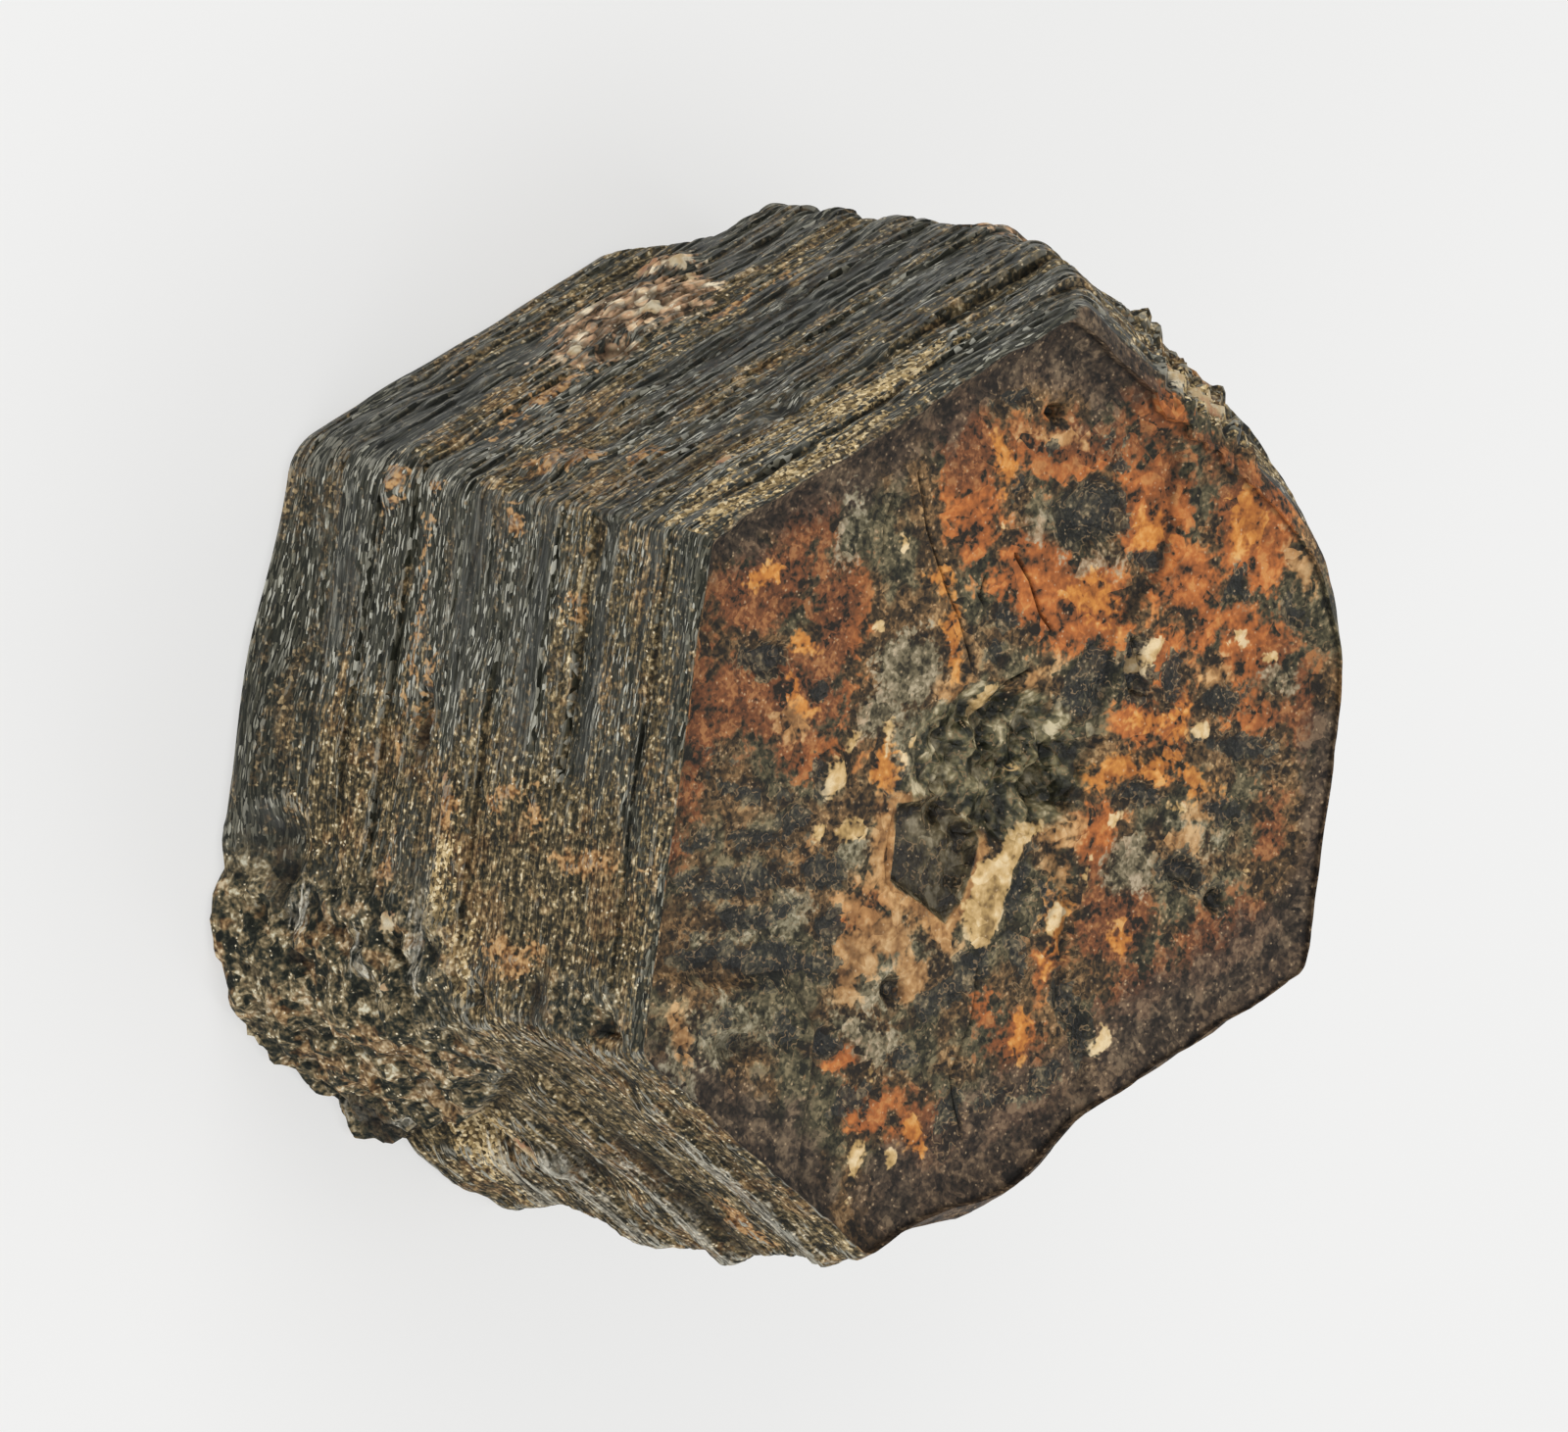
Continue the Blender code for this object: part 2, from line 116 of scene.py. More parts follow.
# Round crusts, pits and chips on a side: place along it, height, half widths, and how far they
# stand proud (or lie back, if negative).
SPOTS = {
    "CD": ((1.5, 8.8, 2.2, 1.6, 0.35), (-3.2, 14.2, 1.2, 1.0, -0.4), (3.4, 4.0, 1.6, 1.4, -0.35)),
    "BC": ((3.5, 11.5, 2.0, 1.4, 0.4), (-3.8, 8.2, 1.4, 1.2, -0.5), (5.5, 6.0, 1.4, 1.1, 0.35)),
    "AB": (
        (-1.6, 5.2, 3.0, 2.5, 0.35), (0.2, 6.2, 0.7, 0.5, -0.8), (6.2, 10.7, 1.0, 1.6, 0.3),
        (-4.8, 3.2, 0.9, 1.0, 0.3), (1.0, 14.9, 0.8, 0.6, -0.3),
    ),
    "FA": (
        (0.9, 7.8, 1.1, 0.45, -0.5), (-5.3, 5.0, 0.7, 0.5, 0.3), (9.2, 11.9, 0.8, 0.45, -0.6),
        (9.2, 17.7, 0.9, 1.0, -0.7), (6.0, 10.0, 3.0, 0.9, 0.15), (5.8, 2.2, 1.3, 1.2, -0.45),
        (3.0, 0.2, 7.0, 2.4, 0.7),
    ),
    "EF": (
        (2.8, 3.2, 1.8, 1.9, -0.8), (5.5, 9.2, 1.6, 1.2, 0.3), (2.6, 7.4, 0.8, 0.5, 0.3),
        (4.6, 0.2, 2.4, 2.0, 0.45),
    ),
    "DE": ((-4.4, 18.6, 3.2, 1.8, 0.7), (2.0, 9.0, 2.4, 1.8, -0.4), (-3.0, 5.6, 1.8, 1.2, 0.45)),
}
SPOT_EDGE = (0.35, 1.15)  # a spot falls away between these shares of its half widths

# Gentle unevenness of the sides: height, size, and how far it is drawn out along them
SIDE_WAVE = 0.09
SIDE_WAVE_SIZE = 1.1
SIDE_WAVE_STRETCH = (0.35, 0.35, 1)

# The broken corner F: its rough mass ends on side EF in a lip that runs from the front end of the
# break to the back face.
LIP_ALONG = ((0, 2.4), (1.7, 1.6), (7.5, -1.0), (9.8, -3.0), (13.3, -4.9))
LIP_PROUD = ((0, 1.0), (1.7, 1.1), (7.5, 0.8), (9.8, 0.4), (13.3, 0.0))
LIP_WIDTH = 0.7
BREAK_FADE = (8.0, 13.3)  # heights between which the break dies out
BREAK_ON_FA = (4.5, 8.5)  # places along side FA between which the break sets in
# A second crumbled stretch of corner F, near the front: heights and places along side FA
FRONT_BREAK = (15.2, 18.6)
FRONT_BREAK_FADE = 1.4
FRONT_BREAK_ON_FA = (6.6, 8.6)
FRONT_BREAK_SHARE = 0.75
BREAK_ROUGHNESS = 0.45
BREAK_LUMP_SIZE = 1.3
BREAK_SEED = 11

# The grainy stretch of side BC just under the front face
GRAINS_ALONG = (-2.6, 2.2)
GRAINS_FROM = (15.2, 16.8)
GRAINS_FADE = 1.0
GRAIN_SIZE = 0.9
GRAIN_PROUD = 0.7
GRAIN_REST = 0.3  # share of a grain that lies below the plain surface
GRAIN_SEED = 5

# Relief of the front face: outlines of pits with flat floors, as (floor depth, wall width, points)
HEXAGON_PIT = (
    0.5, 0.3, ((-3.7, -1.6), (-3.6, -3.9), (-1.2, -5.1), (-0.6, -4.3), (-0.2, -2.3), (-1.8, -1.3)),
)
BLACK_PIT = (0.4, 0.3, ((4.3, 3.9), (4.2, 2.9), (4.7, 2.0), (5.5, 2.1), (5.3, 3.0), (4.9, 3.9)))
DARK_PIT = (0.2, 0.3, ((6.7, -2.8), (7.2, -3.5), (8.3, -3.6), (8.4, -2.9), (7.6, -2.5)))
FRONT_PITS = (HEXAGON_PIT, BLACK_PIT, DARK_PIT)
# Round pits and chips of the front face: place, half widths, how far they stand proud
FRONT_SPOTS = (
    (2.2, -0.8, 0.8, 0.7, -0.6), (0.5, 10.3, 0.5, 0.3, -0.5), (-9.6, 2.4, 1.2, 0.8, -0.12),
    (2.3, 7.3, 1.5, 1.1, -0.15), (-2.9, -7.1, 0.6, 0.5, -0.3), (-6.3, -0.7, 0.6, 0.7, 0.2),
    (-9.0, -9.0, 1.0, 0.6, -0.2), (9.2, -3.9, 0.5, 0.4, -0.3), (6.0, -0.1, 1.6, 0.5, 0.15),
)
# The rough hollow in the middle of the front face
MIDDLE_HOLLOW = (0.0, -0.2)
MIDDLE_HALF_WIDTHS = (3.6, 2.4)
MIDDLE_DEPTH = 0.4
MIDDLE_EDGE = (0.6, 1.1)  # shares of the half widths between which the hollow's wall lies
MIDDLE_ROUGHNESS = 0.5
MIDDLE_LUMP_SIZE = 0.9
MIDDLE_SEED = 22
FRONT_WAVE = 0.1
FRONT_WAVE_SIZE = 3.5
FRONT_SEED = 21
RIM_SHARE = 0.6  # how much of the front face's relief reaches its rim
# Steps of the front face: the ground beyond each line, on its right as it is drawn, lies lower
RIGHT_STEP = (
    (5.6, 14), (5.7, 6), (4.1, 3.9), (3.9, 0.5), (2.5, -2.2), (3.6, -4.2), (3.9, -6.4), (5.2, -8.6),
    (6.5, -16),
)
LEFT_STEP = ((-5.8, -16), (-6.0, -8.4), (-7.4, -7.0), (-9.8, -7.4), (-12.2, -7.1), (-16, -7.4))
RIGHT_STEP_DEPTH = 0.28
LEFT_STEP_DEPTH = 0.3
STEP_EDGE = (-0.05, 0.25)  # where a step's wall begins and ends, across its line

# Fineness of the surface: points along each straight side and round each corner, and the spacing of
# the front face's points
SIDE_POINTS = {"CD": 30, "BC": 40, "AB": 58, "FA": 62, "EF": 50, "DE": 36}
CORNER_POINTS = {"C": 24, "B": 8, "A": 5, "F": 14, "E": 6, "D": 5}
FRONT_SPACING = 0.2
LATTICE_REACH = 18
CLEAR_OF_EDGES = 0.5  # in spacings, from points on steps and cracks
CLEAR_OF_RIM = 0.4
ONLY_INSIDE = 1  # the kind of mesh wanted of the front face: triangles within its rim
SAME_POINT = 1e-6  # distance under which two points of it count as one

# The sides are a pile of thin growth layers, whose edges stand more or less far out. Each has a row
# of points just above its lower edge and one just below its upper edge.
LAYER_THICKNESS = 0.17
LAYER_SPREAD = 0.55  # share by which the thickness varies
LAYER_GAP = 0.015
LAYER_SEED = 4
LAYERS_END = 19.2
LAYER_WAVES = ((4.0, 0.04), (1.3, 0.03), (0.4, 0.02))  # length along the side, how far it stands out
LAYER_PLATES = (1.8, 0.035, 6.0)  # length, how far out, how abruptly a plate ends
LAYER_PLATES_SEED = 7
LAYER_TILT = (0.9, 0.014)  # length, how much further out one edge of a layer is than the other
LAYER_TILT_SEED = 8
LAYER_SHARES = {"CD": 1.2, "BC": 1.3, "AB": 1.4, "FA": 0.6, "EF": 1.2, "DE": 1.4}
# How much each side's proud ledge edges are made light grey: partly worn lips, partly a painted highlight
LEDGE_WEAR_AND_HIGHLIGHT_SHARES = {"CD": 0.6, "BC": 0.6, "AB": 0.35, "FA": 0.5, "EF": 1.0, "DE": 0.6}
LAYERS_SET_IN = (0, 1)  # heights between which the layers begin to stand out
LAYER_DRIFT = (4.0, 0.16)  # the layers rise and fall a little: length, height
LAYER_DRIFT_SEED = 37
DRIFT_BEGINS = (RIM, 1.5)
DRIFT_ENDS = (17.6, LAYERS_END)
LAYER_STRIDE = 7.3  # keeps one layer's noise apart from the next one's
BACK_ROWS = (0, 0.1, 0.2)
FRONT_ROWS = (19.28, 19.36, 19.43, 19.49, 19.53, HEIGHT)
# Heights between which the colours of the front face set in
FRONT_EDGE = (19.42, 19.58)
FRONT_BEGINS = {"CD": (18.2, 18.9), "DE": (17.4, 18.4), "BC": (18.9, 19.3)}
FRONT_MARKS_FROM = 17.0
GRIT_SIZE = 0.3
GRIT_PROUD = 0.05
GRIT_SEED = 33
GRITTY_EDGE = (-0.2, 0.3)  # distances inside a patch of dust or sand between which grit sets in
GRIT_COVERS = 0.4  # share of the layers' relief that grit fills
ROUGH_SIZE = 0.7  # lumps of the broken corner, on top of the large ones
ROUGH_PROUD = 0.3
ROUGH_SEED = 34
GRIT_ON_ROUGH = 0.5
# Relief of patches of the sides: how far they stand proud, the distances inside them between which
# they rise, and for lumpy ones the even share of their height, the size of their lumps and a seed
LUMPY_PATCHES = {"crust": (0.2, (-0.2, 0.6), 0, 0.55, 35), "ocher": (0.16, (-0.1, 0.3), 0.6, 0.35, 36)}
STEPPED_PATCHES = {"chip": (0.12, (-0.05, 0.12)), "shade": (-0.15, (-0.1, 0.3))}

# Fine relief of the front face
FRONT_GRIT = ((1.1, 0.03), (0.35, 0.022))  # size, height
FRONT_GRIT_SEED = 60
BORDER_SMOOTHS = 0.7  # share of that grit that the smooth dark border is without
BORDER_EDGE = (-0.2, 0.6)
MIDDLE_FACETS = (0.6, 0.35)  # jagged crystals of the hollow: size, height
FACETS_SEED = 61
FACETS_REST = 0.5  # share of a crystal that lies below the plain surface
LEDGES = (0.9, 3.2, 0.05, 4)  # long low ledges of the left part: width, length, height, abruptness
LEDGES_SEED = 62
LEDGES_LEFT_OF = (-8.5, -6.0)
RIM_BLEND = 0.7  # the front face's relief comes in over this distance from its rim
CRACK_WIDTH = 0.09
CRACK_FLOOR = 0.3 * CRACK_WIDTH  # half width of a crack's flat bottom
# Cracks of the front face: depth and points
CRACKS = (
    (0.1, ((-4.6, 8.2), (-4.0, 6.6), (-3.0, 5.0), (-2.2, 3.9), (-1.5, 2.6))),
    (0.07, ((-5.4, 7.6), (-5.7, 6.6), (-5.6, 5.6))),
    (0.08, ((5.6, 10.2), (5.8, 8.6), (5.6, 7.2), (5.8, 6.0))),
    (0.15, ((-0.4, 6.0), (0.3, 5.3), (0.9, 4.3), (1.5, 3.8))),
    (0.15, ((-1.5, 5.2), (-1.6, 4.7), (-1.3, 4.4))),
    (0.15, ((0.0, 2.2), (0.9, 2.7))),
    (0.08, ((0.4, -6.4), (0.3, -8.0), (-0.2, -9.6), (0.6, -11.4))),
    (0.08, ((-3.8, -1.9), (-3.9, -3.2), (-3.7, -4.0))),
)

# Coloured patches of the front face, as ovals: place, half widths and turn in degrees
PATCHES = {
    "rust": (
        (1.4, 9.3, 3.0, 0.9), (4.7, 7.8, 1.3, 1.7), (8.7, 7.3, 1.5, 1.9, 20), (9.6, 3.7, 1.5, 1.1),
        (6.2, 5.7, 1.3, 0.9), (5.8, 3.3, 0.7, 1.1), (-2.9, 9.0, 1.2, 1.5, 20), (-2.2, 7.0, 0.9, 1.3, 10),
        (1.6, 4.9, 2.8, 1.5, -14), (-10.0, 4.5, 2.2, 1.2, 15), (-8.7, 6.4, 1.3, 0.8, 20),
        (-9.3, 1.3, 3.2, 1.2), (-7.0, 3.7, 1.0, 1.8), (5.2, -4.8, 1.5, 1.3), (4.1, -2.3, 0.9, 1.3),
        (9.5, -5.0, 2.2, 1.0, 25), (-12.4, -3.3, 0.6, 0.8), (-4.6, -5.0, 0.9, 0.8), (2.0, -8.5, 1.1, 0.8),
        (-1.0, -11.2, 1.3, 0.9), (-3.2, -10.7, 0.9, 0.7), (-4.5, -9.3, 0.8, 0.5), (6.5, -6.6, 1.5, 0.7, 30),
        (3.0, -6.0, 0.4, 0.8), (5.2, 1.4, 0.8, 0.8), (6.6, 1.3, 0.5, 1.3), (10.0, 1.8, 1.2, 0.5),
        (11.6, 2.2, 0.7, 1.2), (8.6, 4.4, 0.8, 0.6), (7.0, 4.6, 0.7, 1.2), (11.0, -1.6, 0.5, 0.8),
        (7.2, 9.3, 1.2, 0.4, -20), (2.6, -10.6, 1.2, 0.5, 20), (0.6, -7.4, 0.5, 0.5),
        (-11.9, 0.2, 0.7, 2.6), (-7.6, -0.3, 1.4, 0.5), (4.2, 10.6, 1.4, 0.8, -35), (-0.4, 6.4, 0.6, 0.5),
    ),
    "amber": (
        (2.9, 4.9, 1.0, 0.5, -20), (4.7, -0.2, 1.0, 0.35, 10), (6.0, 0.1, 0.9, 0.35, 20),
        (7.4, -0.2, 0.9, 0.25, -20), (6.7, 1.3, 0.25, 0.9), (-8.3, 2.9, 0.4, 0.3), (-8.6, 1.5, 0.3, 0.3),
        (-3.3, 5.0, 0.5, 0.25), (-4.4, -0.5, 0.35, 0.6, 10), (2.3, -8.3, 0.4, 0.6), (4.8, 7.2, 0.5, 0.6),
        (-1.4, 8.6, 0.4, 0.6, 10), (-2.4, 3.4, 0.3, 0.9, 12), (5.5, 1.5, 0.5, 0.3), (-10.0, 4.7, 0.6, 0.3),
        (-7.8, 0.9, 0.35, 0.25), (3.0, -5.1, 0.3, 0.9), (-1.3, -11.4, 0.5, 0.4), (5.6, -5.2, 0.5, 0.4),
        (8.3, 7.5, 0.6, 0.8),
    ),
    "red": (
        (-10.0, 3.5, 4.0, 5.0), (-12.0, -2.0, 1.6, 4.0), (5.5, -5.0, 3.0, 2.6), (1.0, -10.5, 5.0, 2.0, -20),
        (10.0, -5.0, 3.0, 2.0, 20), (11.5, 0.0, 1.5, 4.0), (-2.8, 9.6, 1.6, 1.6), (7.0, 9.0, 2.0, 1.0, -20),
        (1.6, 9.9, 2.6, 0.9),
    ),
    "tan": (
        (-4.1, -2.5, 0.4, 1.7), (-3.3, -4.5, 1.5, 0.45, -25), (-1.5, -5.3, 0.9, 0.35, -25),
        (-5.0, -4.7, 0.7, 0.5), (-3.8, -5.4, 1.5, 0.6, -20), (-4.6, -6.2, 1.0, 0.8),
        (2.6, -2.3, 0.9, 0.3, 30), (3.0, -3.2, 0.25, 0.7, 30), (7.8, 3.0, 0.7, 0.5), (8.2, -1.2, 0.8, 0.4),
        (-2.2, -6.7, 0.7, 0.8), (-4.9, -6.6, 0.6, 1.0), (10.6, 6.4, 0.4, 0.9, 35), (1.0, 2.4, 0.6, 0.3, 40),
        (-8.2, 0.6, 0.6, 0.5), (3.2, 2.8, 0.6, 0.3), (-6.9, -3.6, 0.3, 0.7), (-2.0, 1.7, 0.6, 0.3),
        (0.6, 9.7, 1.0, 0.25), (7.2, -2.2, 0.8, 0.3), (-11.1, -8.9, 0.3, 0.7, 20),
    ),
    "grey": (
        (-4.0, 2.5, 1.3, 1.2), (-5.0, 1.0, 0.8, 0.7), (-3.4, -6.4, 1.9, 1.2), (-9.4, -8.7, 1.7, 0.8, 5),
        (-9.9, -8.6, 1.0, 0.8), (-3.8, -8.6, 1.5, 0.6, -30), (5.6, -2.9, 0.9, 0.9), (-5.1, -3.2, 0.6, 0.4),
        (0.8, 6.7, 1.0, 0.4), (-3.5, 0.2, 0.7, 0.8), (7.5, -1.9, 1.2, 0.4), (1.4, -1.9, 0.6, 0.3),
        (-7.4, -5.0, 0.8, 0.5), (-9.3, -5.6, 1.4, 0.3, 15), (10.4, 3.0, 0.7, 0.4), (8.3, 5.5, 0.4, 0.5),
        (-11.0, -9.6, 0.4, 0.8, 30), (2.8, 6.0, 0.8, 0.25), (-7.0, 6.4, 0.4, 0.9),
    ),
    "dark": (
        (-0.4, 0.2, 3.0, 1.8), (-2.0, -3.2, 1.4, 1.5), (2.2, -0.8, 0.8, 0.8), (4.9, 2.8, 0.6, 1.1),
        (-0.6, 4.1, 0.55, 0.45), (-0.6, 3.0, 0.4, 0.4), (3.2, 2.4, 0.9, 1.3, -20),
        (1.6, -3.9, 0.4, 1.4, -12), (2.6, -4.4, 0.25, 0.6), (-6.3, -3.8, 0.9, 0.6), (-5.6, -5.4, 0.5, 0.6),
        (-9.0, -2.9, 1.5, 0.3), (-9.5, -4.2, 2.0, 0.5, 8), (-8.0, -6.5, 2.6, 0.6),
        (-9.7, -1.5, 1.2, 0.22, -5), (-10.9, -0.6, 0.7, 0.15), (-11.2, -3.0, 0.7, 0.25),
        (-9.7, 2.4, 1.0, 0.6), (-7.4, 1.5, 0.45, 0.35, 40), (2.3, 7.3, 1.6, 0.9), (4.9, 6.1, 0.6, 0.4),
        (8.3, 5.6, 0.5, 0.6), (8.5, 2.2, 0.9, 0.45), (9.3, 0.8, 1.3, 0.4), (5.5, -0.8, 0.8, 0.4),
        (7.6, -3.0, 0.9, 0.45), (9.2, -3.8, 0.45, 0.4), (-0.9, -7.3, 1.2, 0.45, 30),
        (0.0, -6.3, 0.7, 0.5, 40), (-8.8, -8.9, 0.4, 0.25), (-7.3, -8.7, 0.4, 0.6),
        (4.3, -7.6, 0.4, 1.3, 25), (3.4, -9.6, 1.0, 0.5, 20), (0.0, -10.5, 0.4, 1.0),
        (-2.1, -9.1, 0.6, 0.3), (10.9, 4.8, 0.7, 0.25, -40), (-5.3, -8.8, 0.5, 0.5),
        (-3.9, -10.4, 0.7, 0.3, 40), (-7.6, -2.3, 0.6, 0.4), (-6.8, -1.0, 0.35, 0.5, 20),
        (-9.7, -8.3, 0.6, 0.2, 30), (-8.9, -5.2, 1.8, 0.3, 12), (-10.6, -6.5, 1.0, 0.4),
        (-4.0, -0.9, 0.25, 0.5), (-1.4, 10.6, 0.6, 0.3, 20), (6.2, 2.6, 0.4, 0.7), (7.2, 0.9, 0.4, 0.3),
        (1.9, -6.2, 0.3, 0.8, 10), (0.4, 9.2, 0.3, 0.25), (2.7, 9.7, 0.4, 0.25), (3.4, 8.8, 0.3, 0.3),
        (-0.8, 8.1, 0.3, 0.35), (10.6, 0.2, 0.6, 0.3), (9.0, -1.2, 0.9, 0.3), (1.6, -10.2, 0.7, 0.3, 20),
        (-2.9, -7.1, 0.42, 0.35),
    ),
    "cream": (
        (-6.3, -0.8, 0.28, 0.62, -14), (-5.8, 0.35, 0.22, 0.25), (-6.6, -2.55, 0.3, 0.38),
        (-5.35, -2.4, 0.45, 0.4), (5.35, 3.5, 0.2, 0.5, -20), (4.95, 3.1, 0.3, 0.25),
        (9.9, 3.55, 0.4, 0.22), (6.85, -1.05, 0.42, 0.18), (7.7, 1.2, 0.32, 0.22),
        (-0.7, 1.55, 0.4, 0.42, 30), (0.9, -0.35, 0.25, 0.18), (2.9, -5.0, 0.2, 0.7),
        (-3.5, -12.3, 0.2, 0.9, 5), (-2.2, -12.3, 0.2, 0.22), (5.35, -8.15, 0.28, 0.3),
        (4.8, -1.5, 0.22, 0.2), (10.35, -3.0, 0.15, 0.16), (-4.9, 6.0, 0.12, 0.25),
        (-1.25, 6.85, 0.12, 0.1), (-5.5, 3.6, 0.16, 0.2), (-3.5, 0.0, 0.3, 0.12, 40), (8.8, 3.9, 0.2, 0.16),
        (-3.3, -9.5, 0.2, 0.14), (3.9, -3.3, 0.12, 0.3), (-4.5, 0.6, 0.12, 0.4, 20),
    ),
}
CREAM_SHARD = (
    (2.3, -1.8), (1.4, -2.0), (0.9, -2.2), (0.5, -2.8), (-0.4, -3.3), (-0.3, -4.0), (-0.6, -4.5),
    (-0.3, -5.1), (0.1, -5.8), (0.5, -5.8), (0.8, -5.1), (1.1, -4.4), (1.15, -3.3), (1.5, -2.7), (2.1, -2.3),
)
BORDER_LINES = (  # the smooth dark border: distance from the rim, and where it lies
    (1.1, (-13.0, 5.6), (-6.0, 8.9)), (1.5, (-6.0, 9.6), (0.0, 13.2)), (1.9, (-6.0, -13.6), (-11.0, -11.0)),
    (2.3, (12.5, -5.8), (-1.0, -13.6)), (0.9, (12.9, -5.0), (12.9, 1.5)), (2.0, (-2.0, 12.8), (2.0, 12.5)),
)
PATCH_WARP = ((1.3, 0.4), (0.5, 0.2))  # size of the ragged edges of patches, how far they move
PATCH_WARP_SEEDS = (40, 50)
OUTLINE_WARP = 0.5  # share of that for patches with an outline of their own
HEXAGON_WARP = 0.25
# How far a patch stands proud, and the distances inside it between which it rises
PATCH_RELIEF = {"dark": -0.06, "cream": 0.07, "amber": 0.02, "grey": 0.03, "rust": 0.015}
PATCH_WALL = (-0.04, 0.12)

